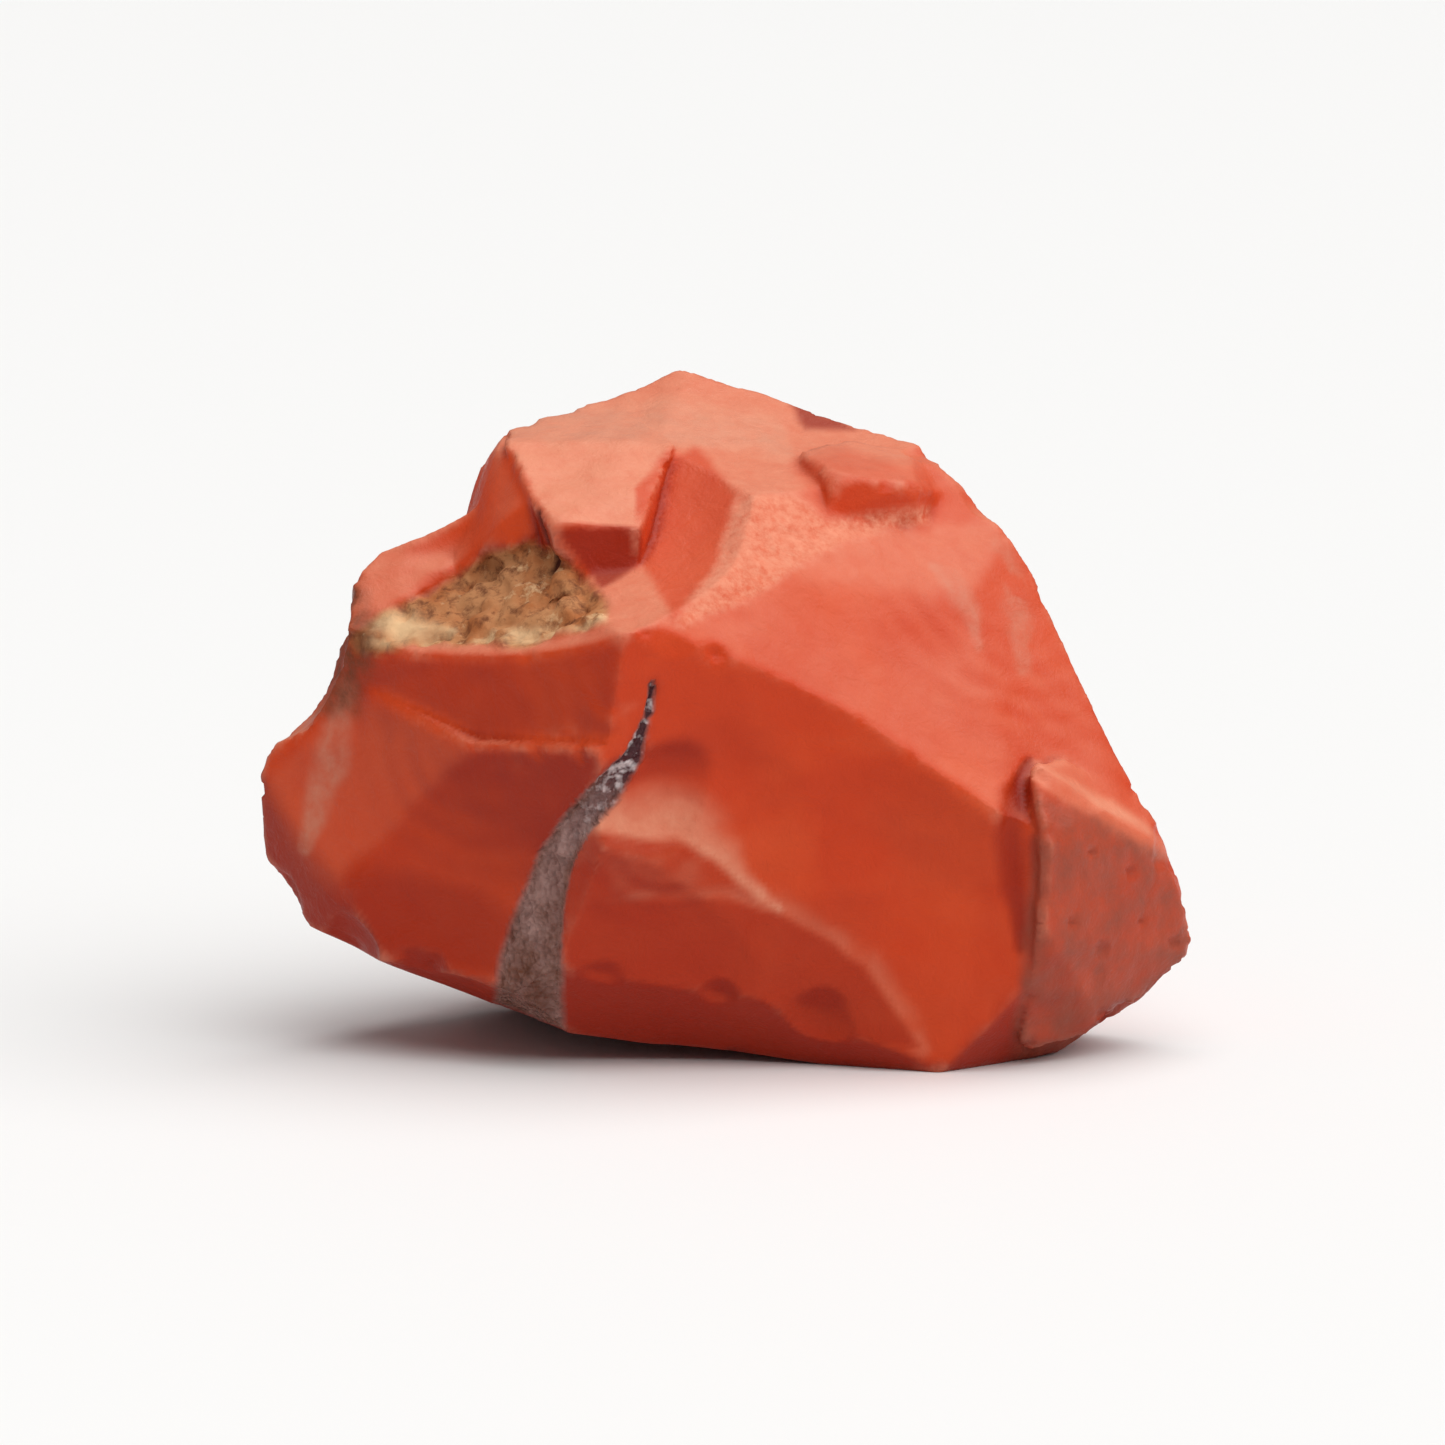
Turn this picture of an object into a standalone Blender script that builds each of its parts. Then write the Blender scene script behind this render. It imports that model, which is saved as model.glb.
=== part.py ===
"""Rough red jasper: one broken chunk of stone, modelled at its real size as one closed solid.

The chunk is a block that was struck on all sides. Each fracture left a hollow, shell-shaped face, so the
model cuts every face with a large sphere that passes through three corners of that face. Ledges that stand
proud of the fractures are joined on as convex lumps, and the sharp ridges are nibbled by small chips.
X runs to the right, Y away from the front and Z up. The stone rests on its base at Z = 0.
All the shapes below are in millimetres, and are brought to metres as their meshes are made.
"""

import math
import random

import bmesh
import bpy
from mathutils import Vector
from mathutils.bvhtree import BVHTree

MM = 0.001
STONE_NAME = "jasper_chunk"
CORE = Vector((0.0, 2.0, 20.0))
SCAR_REACH = 28.0
FULL_BALL = 25.0
FACE_DETAIL = 6
ROUND_DETAIL = 5
CHIP_DETAIL = 4
PIT_DETAIL = 3
REMESH_VOXEL = 0.45
KEPT_SHARE = 0.085
BASE_DEPTH = 12.0
BASE_LIFT = 0.35
BASE_SIZE = 120.0

JASPER_COLOUR = (0.45, 0.055, 0.017, 1.0)
JASPER_ROUGHNESS = 0.5

# Outermost points of the chunk, from which the block is made.
BLOCK_CORNERS = (
    (-30.9, -3.0, 17.8),
    (-30.2, -3.0, 13.0),
    (-27.2, -5.0, 8.7),
    (-22.4, -9.6, 7.1),
    (-15.5, -13.0, 5.8),
    (-26.6, -5.0, 23.6),
    (-24.9, -4.0, 30.9),
    (-22.7, -1.5, 33.0),
    (-15.2, -1.0, 40.6),
    (-14.3, 5.0, 41.6),
    (-7.8, 9.0, 42.9),
    (-2.7, 11.0, 44.4),
    (3.7, 11.0, 42.0),
    (8.4, 8.0, 40.6),
    (13.0, 5.0, 39.8),
    (15.8, 3.0, 37.2),
    (18.3, 1.0, 34.6),
    (20.6, 0.0, 31.4),
    (25.0, -2.0, 23.5),
    (29.1, -5.0, 15.2),
    (30.4, -5.0, 9.8),
    (31.0, -4.0, 7.0),
    (25.8, -4.0, 1.7),
    (22.2, -6.0, 0.5),
    (17.0, -9.5, 0.0),
    (-7.5, -20.0, 31.5),
    (-7.5, -20.0, 21.5),
    (18.5, -15.5, 18.5),
    (20.0, -15.0, 9.0),
    (-11.0, -16.5, 9.0),
    (-9.0, -14.5, 3.0),
    (12.0, -13.5, 0.0),
    (-24.5, -9.0, 27.5),
    (-3.0, -1.5, 40.8),
    (12.7, -1.5, 38.0),
    (-15.0, 14.0, 0.0),
    (17.0, 14.0, 0.0),
    (-28.0, 9.0, 20.0),
    (-13.0, 24.0, 18.0),
    (9.0, 25.0, 22.0),
    (24.0, 16.0, 14.0),
    (-14.0, 18.0, 34.0),
    (7.0, 20.0, 34.0),
)

# Fracture faces: three corners of the face, the radius of its hollow, and how much taller than wide it is.
SCARS = {
    "front_right": ((-7.0, -19.0, 30.5), (17.5, -14.0, 18.0), (14.0, -12.2, 1.5), 50.0, 2.0),
    "upper_right": ((-7.0, -19.0, 30.5), (17.5, -14.0, 18.0), (16.0, -0.5, 35.5), 400.0, 1.0),
    "right_fold": ((18.4, 0.0, 33.3), (19.5, -10.2, 20.5), (25.4, -2.0, 23.4), 200.0, 1.0),
    "far_left": ((-16.2, -12.8, 21.6), (-26.3, -5.5, 23.3), (-27.1, -7.0, 9.5), 110.0, 1.0),
    "left_scoop": ((-16.2, -12.8, 21.6), (-7.5, -18.2, 22.0), (-22.4, -8.9, 7.3), 45.0, 1.0),
    "low_front": ((-10.8, -15.1, 11.0), (4.0, -14.6, 11.6), (-2.5, -12.3, 4.6), 30.0, 1.0),
    "low_front_right": ((3.0, -14.6, 12.0), (13.0, -12.6, 2.5), (3.6, -12.3, 4.6), 26.0, 1.0),
    "under_front": ((-10.5, -14.2, 7.6), (3.1, -12.9, 5.4), (1.0, -8.0, -0.5), 60.0, 1.0),
    "under_left": ((-15.3, -12.4, 6.2), (-22.3, -9.3, 7.2), (-12.0, -3.0, -0.5), 30.0, 1.0),
    "under_right": ((22.2, -6.0, 0.6), (28.5, -4.0, 4.0), (20.0, 4.0, -0.5), 50.0, 1.0),
    "matrix_bay": ((-7.3, -18.5, 29.1), (-23.7, -8.5, 27.4), (-12.6, -6.5, 33.2), 45.0, 1.0),
    "matrix_wall": ((-13.0, -7.5, 32.6), (-20.0, -4.0, 31.4), (-12.4, -5.5, 35.0), 9.0, 1.0),
    "roof_hollow": ((-1.9, -1.0, 40.2), (-3.6, -17.5, 30.5), (0.4, -5.0, 37.4), 30.0, 1.0),
    "roof_right": ((-2.5, -18.5, 30.2), (13.6, -1.0, 34.9), (4.7, -4.0, 37.4), 150.0, 1.0),
    "shoulder_left": ((-22.7, -1.0, 32.9), (-17.4, 0.5, 34.7), (-19.0, 8.0, 34.0), 18.0, 1.0),
    "neck_left": ((-27.0, 0.0, 23.1), (-24.7, -4.5, 26.2), (-24.6, 0.0, 31.0), 10.0, 1.0),
    "crown_front": ((-14.1, 5.0, 41.4), (-2.7, 11.0, 44.1), (-3.3, -1.0, 40.2), 80.0, 1.0),
    "crown_right": ((-2.7, 11.0, 44.2), (9.2, 8.0, 41.0), (2.0, -2.0, 38.4), 90.0, 1.0),
    "back_left": ((-30.6, -2.0, 15.0), (-24.4, 4.0, 30.5), (-14.0, 22.0, 15.0), 60.0, 1.0),
    "back_right": ((30.5, -4.0, 9.0), (20.0, 1.0, 32.0), (13.0, 22.0, 15.0), 75.0, 1.0),
    "back_middle": ((-14.0, 21.0, 13.0), (-7.0, 18.0, 36.0), (12.0, 21.5, 20.0), 55.0, 1.0),
    "back_low": ((-17.0, 11.0, 0.0), (17.0, 12.0, 0.0), (2.0, 23.0, 15.0), 70.0, 1.0),
    "back_top_left": ((-3.0, 11.5, 43.9), (-20.0, 8.0, 34.5), (-7.0, 19.0, 34.0), 45.0, 1.0),
    "back_top_right": ((-2.5, 12.5, 44.5), (16.5, 5.0, 38.8), (8.0, 20.0, 31.0), 120.0, 1.0),
}

# Notches with a back wall and a floor: the corners of the convex piece that broke out.
NOTCHES = {
    "left_upper": (
        (-5.8, -18.8, 32.0),
        (-23.6, -8.0, 31.0),
        (-23.0, -7.4, 25.0),
        (-15.6, -12.2, 22.3),
        (-7.4, -17.6, 22.8),
        (-5.5, -26.0, 32.0),
        (-27.0, -14.0, 31.0),
        (-26.5, -13.0, 23.4),
        (-19.0, -18.0, 20.2),
        (-7.0, -25.0, 21.0),
    ),
}

# Ledges that stand proud of the fractures: the outer corners of each convex lump.
LEDGES = {
    "ledge_top": (
        (-14.5, -1.0, 40.4),
        (-3.3, -1.0, 40.2),
        (-5.6, -9.0, 35.5),
        (-11.3, -9.0, 35.8),
        (-12.0, -6.0, 37.5),
        (-10.9, -9.1, 34.0),
        (-5.6, -9.3, 33.0),
        (-7.9, -9.6, 31.0),
        (-11.3, -5.0, 32.5),
        (-14.1, 5.0, 41.4),
        (-7.8, 9.0, 42.5),
        (-4.0, 4.0, 36.0),
        (-12.0, 2.0, 34.0),
    ),
    "ledge_left": (
        (-16.0, 3.0, 38.7),
        (-14.9, 0.0, 39.8),
        (-12.0, -6.0, 37.4),
        (-17.4, 0.5, 34.9),
        (-18.0, -4.0, 31.6),
        (-12.3, -6.5, 34.2),
        (-10.0, -3.0, 32.0),
        (-14.1, 5.0, 41.3),
        (-12.0, 6.0, 36.0),
        (-16.0, 5.0, 33.0),
    ),
    "ledge_far_left": (
        (-24.6, -4.0, 30.6),
        (-22.5, -2.0, 32.7),
        (-18.7, 0.0, 34.5),
        (-18.0, -4.5, 31.9),
        (-21.8, -5.2, 30.0),
        (-24.0, -6.0, 28.6),
        (-22.0, 2.0, 30.0),
        (-17.5, 1.0, 32.0),
    ),
    "ledge_right": (
        (8.3, 4.0, 40.1),
        (12.9, 4.5, 39.4),
        (12.6, 1.0, 38.5),
        (12.7, -1.2, 37.2),
        (7.1, -3.0, 37.8),
        (5.0, 1.0, 39.2),
        (12.9, -0.6, 35.0),
        (6.8, -3.5, 35.3),
        (15.3, 3.0, 36.6),
        (9.0, 6.0, 34.0),
    ),
    "ledge_side": (
        (19.8, -12.6, 20.9),
        (20.8, -15.0, 16.6),
        (20.6, -14.6, 10.0),
        (19.4, -10.4, 1.2),
        (25.0, -10.2, 17.3),
        (29.0, -6.5, 14.0),
        (22.1, -8.0, 20.5),
        (28.9, -5.0, 15.0),
        (30.3, -5.0, 9.8),
        (30.9, -4.2, 7.0),
        (25.6, -6.8, 2.0),
        (22.0, -3.0, 6.0),
        (20.0, -6.0, 16.0),
    ),
}

# Smaller fractures and chips along the ridges: place, radius of the hollow, depth, and how much taller than
# wide it is.
CHIPS = (
    ((-4.0, -16.9, 19.0), 9.0, 0.9, 1.0),
    ((-3.8, -15.6, 13.6), 30.0, 0.7, 0.4),
    ((-3.2, -18.0, 29.4), 3.5, 0.6, 1.0),
    ((-0.6, -17.3, 28.8), 3.0, 0.4, 1.0),
    ((3.8, -16.2, 27.0), 4.0, 0.3, 1.0),
    ((19.4, -13.7, 15.0), 1.5, 0.9, 4.5),
    ((29.2, -6.2, 14.0), 4.0, 0.6, 1.0),
    ((25.6, -6.6, 2.1), 4.5, 0.6, 1.0),
    ((-29.0, -4.0, 11.4), 4.5, 0.6, 1.0),
    ((-24.8, -8.0, 8.2), 4.0, 0.9, 1.0),
    ((5.9, -3.7, 36.9), 2.0, 0.8, 1.0),
    ((-11.5, 7.0, 42.0), 5.0, 0.5, 1.0),
    ((13.6, 3.6, 38.9), 3.5, 0.5, 1.0),
    ((16.8, 2.0, 36.0), 4.0, 0.5, 1.0),
    ((-19.8, -10.4, 6.8), 4.0, 0.6, 1.0),
    ((-7.6, -13.6, 6.6), 4.0, 0.4, 1.0),
    ((-0.6, -12.9, 5.6), 5.0, 0.3, 1.0),
    ((6.4, -12.6, 4.0), 6.0, 0.3, 1.0),
    ((-14.0, 21.0, 25.0), 40.0, 2.0, 1.0),
    ((13.0, 20.0, 27.0), 45.0, 2.2, 1.0),
    ((-13.0, 21.0, 12.0), 30.0, 1.8, 1.0),
    ((12.0, 21.0, 14.0), 26.0, 1.6, 1.3),
    ((0.0, 23.0, 14.0), 34.0, 1.4, 1.0),
    ((-7.0, 18.0, 35.0), 30.0, 1.6, 1.0),
    ((8.0, 18.0, 33.0), 24.0, 1.2, 1.0),
    ((-22.0, 6.0, 31.0), 28.0, 1.2, 1.0),
    ((24.5, 12.0, 14.0), 32.0, 2.0, 1.4),
    ((-27.0, 6.0, 17.0), 36.0, 1.2, 1.0),
    ((-19.0, 12.0, 7.0), 26.0, 1.8, 1.0),
    ((20.0, 11.0, 6.0), 28.0, 1.6, 1.0),
    ((1.0, 14.0, 41.5), 22.0, 0.8, 1.0),
    ((-16.0, 10.0, 37.0), 20.0, 1.0, 1.0),
    ((-16.5, 13.0, 2.0), 20.0, 1.0, 1.0),
    ((17.0, 13.0, 2.0), 20.0, 1.2, 1.0),
)

# The crumbly matrix and the grainy strip of the roof are pitted: middle, reach, number, radius and depth.
PITTED = {
    "matrix_pits": ((-15.0, -9.5, 31.0), (7.0, 4.0, 1.6), 18, 2.2, 0.6),
    "roof_pits": ((5.0, -8.0, 34.6), (6.0, 4.5, 1.0), 12, 2.6, 0.3),
}
PIT_SPREAD = (0.8, 1.2)
LOOSE_CHIPS = 34
LOOSE_CHIP_RADIUS = (2.0, 3.6)
LOOSE_CHIP_DEPTH = (0.2, 0.45)
RIDGE_REACH = 1.2
SHARP_RIDGE = math.radians(32.0)
CHIP_SEED = 11
LUMP_SIZE = 7.0
LUMP_HEIGHT = 0.45


def squeezed(corner, tall):
    """The corner in the frame where a tall hollow is a plain ball."""
    return Vector((corner[0], corner[1], corner[2] / tall))


def sphere_through(a, b, c, radius, core):
    """Centre of the sphere of this radius through three corners, on the outer side of the stone."""
    side_b, side_c = b - a, c - a
    cross = side_b.cross(side_c)
    offset = (
        side_c.length_squared * cross.cross(side_b) + side_b.length_squared * side_c.cross(cross)
    ) / (2.0 * cross.length_squared)
    normal = cross.normalized()
    if normal.dot(a - core) < 0:
        normal.negate()
    reach = math.sqrt(max(radius**2 - offset.length_squared, 0.0))
    return a + offset + normal * reach, normal


def new_object(name, bm, collection):
    """An object made from a bmesh that was drawn in millimetres."""
    bmesh.ops.scale(bm, vec=(MM, MM, MM), verts=bm.verts)
    mesh = bpy.data.meshes.new(name)
    bm.to_mesh(mesh)
    bm.free()
    obj = bpy.data.objects.new(name, mesh)
    collection.objects.link(obj)
    return obj


def lump(corners):
    """A convex lump around the corners."""
    bm = bmesh.new()
    for corner in corners:
        bm.verts.new(corner)
    hull = bmesh.ops.convex_hull(bm, input=bm.verts)
    inside = [item for item in hull["geom_interior"] if isinstance(item, bmesh.types.BMVert)]
    bmesh.ops.delete(bm, geom=inside, context="VERTS")
    bmesh.ops.recalc_face_normals(bm, faces=bm.faces)
    return bm


def ball(centre, radius, level):
    """A round cutter."""
    bm = bmesh.new()
    bmesh.ops.create_icosphere(bm, subdivisions=level, radius=radius)
    bmesh.ops.translate(bm, vec=centre, verts=bm.verts)
    return bm


def hollow(a, b, c, radius, tall):
    """The ball that struck one face. Only the cap near the stone is kept of a large one."""
    corners = [squeezed(corner, tall) for corner in (a, b, c)]
    centre, normal = sphere_through(*corners, radius, squeezed(CORE, tall))
    if radius <= FULL_BALL:
        return ball(centre, radius, ROUND_DETAIL)
    bm = ball(centre, radius, FACE_DETAIL)
    cut = bmesh.ops.bisect_plane(
        bm,
        geom=bm.verts[:] + bm.edges[:] + bm.faces[:],
        plane_co=centre - normal * (radius - SCAR_REACH),
        plane_no=normal,
        clear_outer=True,
    )
    rim = [item for item in cut["geom_cut"] if isinstance(item, bmesh.types.BMEdge)]
    bmesh.ops.contextual_create(bm, geom=rim)
    bmesh.ops.recalc_face_normals(bm, faces=bm.faces)
    bmesh.ops.scale(bm, vec=(1.0, 1.0, tall), verts=bm.verts)
    return bm


def combine(stone, name, operation, shapes, cutters):
    """Join the stone with, or cut it by, a group of shapes."""
    group = bpy.data.collections.new(name)
    cutters.children.link(group)
    for number, bm in enumerate(shapes):
        tool = new_object(f"{name}_{number}", bm, group)
        tool.hide_render = True
        tool.display_type = "WIRE"
    modifier = stone.modifiers.new(name, "BOOLEAN")
    modifier.operand_type = "COLLECTION"
    modifier.collection = group
    modifier.operation = operation
    modifier.solver = "EXACT"


def chip(tree, place, radius, depth, tall):
    """A chip at the point of the surface nearest to this place, struck evenly from all faces around it."""
    place, _, _, _ = tree.find_nearest(Vector(place))
    outward = Vector()
    for _, normal, _, _ in tree.find_nearest_range(place, RIDGE_REACH):
        outward += normal
    return struck_ball(place, outward.normalized(), radius, depth, tall)


def struck_ball(place, outward, radius, depth, tall):
    """A ball that reaches this far below the place, which it meets from outside."""
    bm = ball(Vector(), radius, CHIP_DETAIL if radius < FULL_BALL else ROUND_DETAIL)
    bmesh.ops.scale(bm, vec=(1.0, 1.0, tall), verts=bm.verts)
    bmesh.ops.translate(bm, vec=place + outward * (radius - depth), verts=bm.verts)
    return bm


def surface_now(stone):
    """The stone as it stands so far, as a bmesh in millimetres."""
    bpy.context.view_layer.update()
    depsgraph = bpy.context.evaluated_depsgraph_get()
    bm = bmesh.new()
    bm.from_mesh(stone.evaluated_get(depsgraph).data)
    bmesh.ops.scale(bm, vec=(1.0 / MM, 1.0 / MM, 1.0 / MM), verts=bm.verts)
    return bm


def loose_chips(skin, chance):
    """Chips at places picked along the sharp ridges that the fractures left."""
    inner = [edge for edge in skin.edges if edge.is_manifold]
    ridges = [edge for edge in inner if edge.calc_face_angle_signed(0.0) > SHARP_RIDGE]
    lengths = [edge.calc_length() for edge in ridges]
    for edge in chance.choices(ridges, weights=lengths, k=LOOSE_CHIPS):
        place = (edge.verts[0].co + edge.verts[1].co) / 2.0
        outward = (edge.link_faces[0].normal + edge.link_faces[1].normal).normalized()
        radius = chance.uniform(*LOOSE_CHIP_RADIUS)
        yield struck_ball(place, outward, radius, chance.uniform(*LOOSE_CHIP_DEPTH), 1.0)


def pits(tree, chance):
    """Small pits in the two rough strips, each on the surface nearest to its random place."""
    for middle, reach, count, radius, depth in PITTED.values():
        for _ in range(count):
            place = Vector(middle[axis] + chance.uniform(-reach[axis], reach[axis]) for axis in range(3))
            place, normal, _, _ = tree.find_nearest(place)
            yield ball(place + normal * (radius - depth), radius * chance.uniform(*PIT_SPREAD), PIT_DETAIL)


def weather(stone):
    """One even skin over all the cuts, with the low lumps of broken stone, in few faces."""
    skin = stone.modifiers.new("skin", "REMESH")
    skin.mode = "VOXEL"
    skin.voxel_size = REMESH_VOXEL * MM
    clouds = bpy.data.textures.new("lumps", "CLOUDS")
    clouds.noise_scale = LUMP_SIZE * MM
    clouds.noise_depth = 1
    lumps = stone.modifiers.new("lumps", "DISPLACE")
    lumps.texture = clouds
    lumps.texture_coords = "LOCAL"
    lumps.strength = LUMP_HEIGHT * MM
    lumps.mid_level = 0.5
    thin = stone.modifiers.new("thin", "DECIMATE")
    thin.ratio = KEPT_SHARE


def base_block():
    """All that lies below the flat face on which the stone rests."""
    bm = bmesh.new()
    bmesh.ops.create_cube(bm, size=1.0)
    bmesh.ops.scale(bm, vec=(BASE_SIZE, BASE_SIZE, BASE_DEPTH), verts=bm.verts)
    bmesh.ops.translate(bm, vec=(0.0, 0.0, BASE_LIFT - BASE_DEPTH / 2.0), verts=bm.verts)
    return bm


def jasper():
    """The plain colour of the stone."""
    material = bpy.data.materials.new("jasper")
    material.use_nodes = True
    shader = material.node_tree.nodes["Principled BSDF"]
    shader.inputs["Base Color"].default_value = JASPER_COLOUR
    shader.inputs["Roughness"].default_value = JASPER_ROUGHNESS
    shader.inputs["Metallic"].default_value = 0.0
    return material


def centre_on_base(stone, root):
    """Brings the middle of the stone's own box, at the base, to the origin."""
    bm = surface_now(stone)
    low = Vector(min(vert.co[axis] for vert in bm.verts) for axis in range(3))
    high = Vector(max(vert.co[axis] for vert in bm.verts) for axis in range(3))
    bm.free()
    middle = (low + high) / 2.0
    root.location = Vector((-middle.x, -middle.y, -low.z)) * MM


def main():
    for obj in list(bpy.data.objects):
        bpy.data.objects.remove(obj)
    parts = bpy.data.collections.new("red_jasper")
    cutters = bpy.data.collections.new("cutters")
    bpy.context.scene.collection.children.link(parts)
    bpy.context.scene.collection.children.link(cutters)

    stone = new_object(STONE_NAME, lump(BLOCK_CORNERS), parts)
    stone.data.materials.append(jasper())
    for name, scar in SCARS.items():
        combine(stone, name, "DIFFERENCE", [hollow(*scar)], cutters)
    combine(stone, "notches", "DIFFERENCE", [lump(corners) for corners in NOTCHES.values()], cutters)
    for name, corners in LEDGES.items():
        combine(stone, name, "UNION", [lump(corners)], cutters)
    skin = surface_now(stone)
    tree = BVHTree.FromBMesh(skin)
    chance = random.Random(CHIP_SEED)
    combine(stone, "chips", "DIFFERENCE", [chip(tree, *size) for size in CHIPS], cutters)
    combine(stone, "loose_chips", "DIFFERENCE", loose_chips(skin, chance), cutters)
    combine(stone, "pits", "DIFFERENCE", pits(tree, chance), cutters)
    skin.free()
    weather(stone)
    combine(stone, "base", "DIFFERENCE", [base_block()], cutters)

    root = bpy.data.objects.new("stone_frame", None)
    parts.objects.link(root)
    stone.parent = root
    for tool in cutters.all_objects:
        tool.parent = root
    centre_on_base(stone, root)
    bpy.context.view_layer.update()


main()
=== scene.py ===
import logging
import math
import random
from dataclasses import dataclass
from enum import Enum

import bmesh
import bpy
import numpy as np
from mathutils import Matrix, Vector


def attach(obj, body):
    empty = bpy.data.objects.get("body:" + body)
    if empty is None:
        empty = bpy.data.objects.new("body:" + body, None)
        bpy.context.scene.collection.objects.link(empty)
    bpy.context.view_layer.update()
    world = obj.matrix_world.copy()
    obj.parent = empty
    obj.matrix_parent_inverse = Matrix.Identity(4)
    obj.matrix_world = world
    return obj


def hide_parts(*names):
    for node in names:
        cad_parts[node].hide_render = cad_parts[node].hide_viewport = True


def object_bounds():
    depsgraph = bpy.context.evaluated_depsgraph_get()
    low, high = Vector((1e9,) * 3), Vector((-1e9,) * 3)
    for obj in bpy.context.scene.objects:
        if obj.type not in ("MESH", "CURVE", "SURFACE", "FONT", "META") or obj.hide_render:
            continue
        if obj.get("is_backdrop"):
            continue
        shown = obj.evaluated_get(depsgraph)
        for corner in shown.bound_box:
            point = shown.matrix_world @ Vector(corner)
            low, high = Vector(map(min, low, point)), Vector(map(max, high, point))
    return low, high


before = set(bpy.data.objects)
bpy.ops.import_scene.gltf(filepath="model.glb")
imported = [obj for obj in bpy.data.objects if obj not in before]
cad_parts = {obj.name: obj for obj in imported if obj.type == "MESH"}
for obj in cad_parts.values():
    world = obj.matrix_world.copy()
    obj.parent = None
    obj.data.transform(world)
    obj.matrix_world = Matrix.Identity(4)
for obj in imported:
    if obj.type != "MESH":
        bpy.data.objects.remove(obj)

# One rough chunk of red jasper. Sizes are in millimetres in the stone's own frame, which lies on the packed
# frame moved by STONE_SHIFT. Features are placed on the front picture plane, in millimetres from its middle.

MM = 0.001
STONE_SHIFT = (-0.20, -1.36, -0.35)

CORE = (0.0, 2.0, 20.0)
HASH_STEPS = (73856093, 19349663, 83492791, 2654435761)
HASH_MIX = 1274126177

Point = tuple[float, float, float]
Outline = tuple[tuple[float, float], ...]
Route = tuple[tuple[float, ...], ...]
Colour = tuple[float, float, float]
Socket = bpy.types.NodeSocket

log = logging.getLogger("jasper")


def smooth(low: float, high: float, value: np.ndarray) -> np.ndarray:
    """Soft step from 0 at low to 1 at high.

    Args:
        low: Value at which the step starts.
        high: Value at which it ends, which may be the smaller one.
        value: The numbers to step.

    Returns:
        The steps, from 0 to 1.
    """
    share = np.clip((value - low) / (high - low), 0.0, 1.0)
    return share * share * (3.0 - 2.0 * share)


def noise(points: np.ndarray, size: float, seed: int) -> np.ndarray:
    """Smooth random field.

    Args:
        points: Places, one row each.
        size: Distance over which the field changes.
        seed: Picks the field.

    Returns:
        Values from about -1 to 1.
    """
    grid = points / size
    cell = np.floor(grid).astype(np.int64)
    part = grid - cell
    fade = part * part * part * (part * (part * 6.0 - 15.0) + 10.0)
    total = np.zeros(len(points))
    for corner in np.ndindex(2, 2, 2):
        at = cell + np.array(corner)
        right, deep, up, pick = HASH_STEPS
        key = at[:, 0] * right ^ at[:, 1] * deep ^ at[:, 2] * up ^ (seed * pick)
        key = (key ^ (key >> 13)) * HASH_MIX
        value = ((key ^ (key >> 16)) & 0xFFFF) / 32767.5 - 1.0
        weight = np.prod(np.where(np.array(corner) == 1, fade, 1.0 - fade), axis=1)
        total += value * weight
    return total


def fractal(points: np.ndarray, size: float, octaves: int, seed: int) -> np.ndarray:
    """Noise with finer and finer layers.

    Args:
        points: Places, one row each.
        size: Size of the coarsest layer.
        octaves: Number of layers.
        seed: Picks the field.

    Returns:
        Values from about -1 to 1.
    """
    total = np.zeros(len(points))
    for octave in range(octaves):
        total += noise(points, size / 2.0**octave, seed + octave) / 2.0**octave
    return total


@dataclass(frozen=True)
class FrontView:
    """The photograph's view of the stone, as a plane through its middle.

    The plane's units are millimetres at the stone.
    """

    elevation: float = 8.0
    distance: float = 400.0
    middle: Point = (0.0, 0.0, 21.6)

    def plane(self, points: np.ndarray) -> np.ndarray:
        """Where points of the stone lie on the picture plane.

        Args:
            points: The points, one row each.

        Returns:
            Their places, right and up, one row each.
        """
        sine, cosine = math.sin(math.radians(self.elevation)), math.cos(math.radians(self.elevation))
        rel = points - np.array(self.middle)
        depth = self.distance + rel[:, 1] * cosine - rel[:, 2] * sine
        right = rel[:, 0] * self.distance / depth
        up = (rel[:, 1] * sine + rel[:, 2] * cosine) * self.distance / depth
        return np.stack([right, up], axis=1)

    def eye(self) -> Vector:
        """The camera's place in the stone's own frame."""
        angle = math.radians(self.elevation)
        return Vector(self.middle) + Vector((0.0, -math.cos(angle), math.sin(angle))) * self.distance


def inside(places: np.ndarray, outline: Outline, soft: float) -> np.ndarray:
    """How far places on the picture plane lie inside an outline.

    Args:
        places: Places on the plane.
        outline: Corners of the outline.
        soft: Width of the soft border.

    Returns:
        1 inside, 0 outside, and between them across the border.
    """
    crossings = np.zeros(len(places), dtype=bool)
    nearest = np.full(len(places), 1.0e9)
    for start, end in zip(outline, outline[1:] + outline[:1]):
        a, b = np.array(start), np.array(end)
        along = np.clip(((places - a) @ (b - a)) / ((b - a) @ (b - a)), 0.0, 1.0)
        nearest = np.minimum(nearest, np.linalg.norm(places - a - along[:, None] * (b - a), axis=1))
        above = (a[1] > places[:, 1]) != (b[1] > places[:, 1])
        rise = b[1] - a[1] if b[1] != a[1] else 1.0e-9
        crossings ^= above & (places[:, 0] < (b[0] - a[0]) * (places[:, 1] - a[1]) / rise + a[0])
    return smooth(-soft, soft, np.where(crossings, nearest, -nearest))


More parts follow.
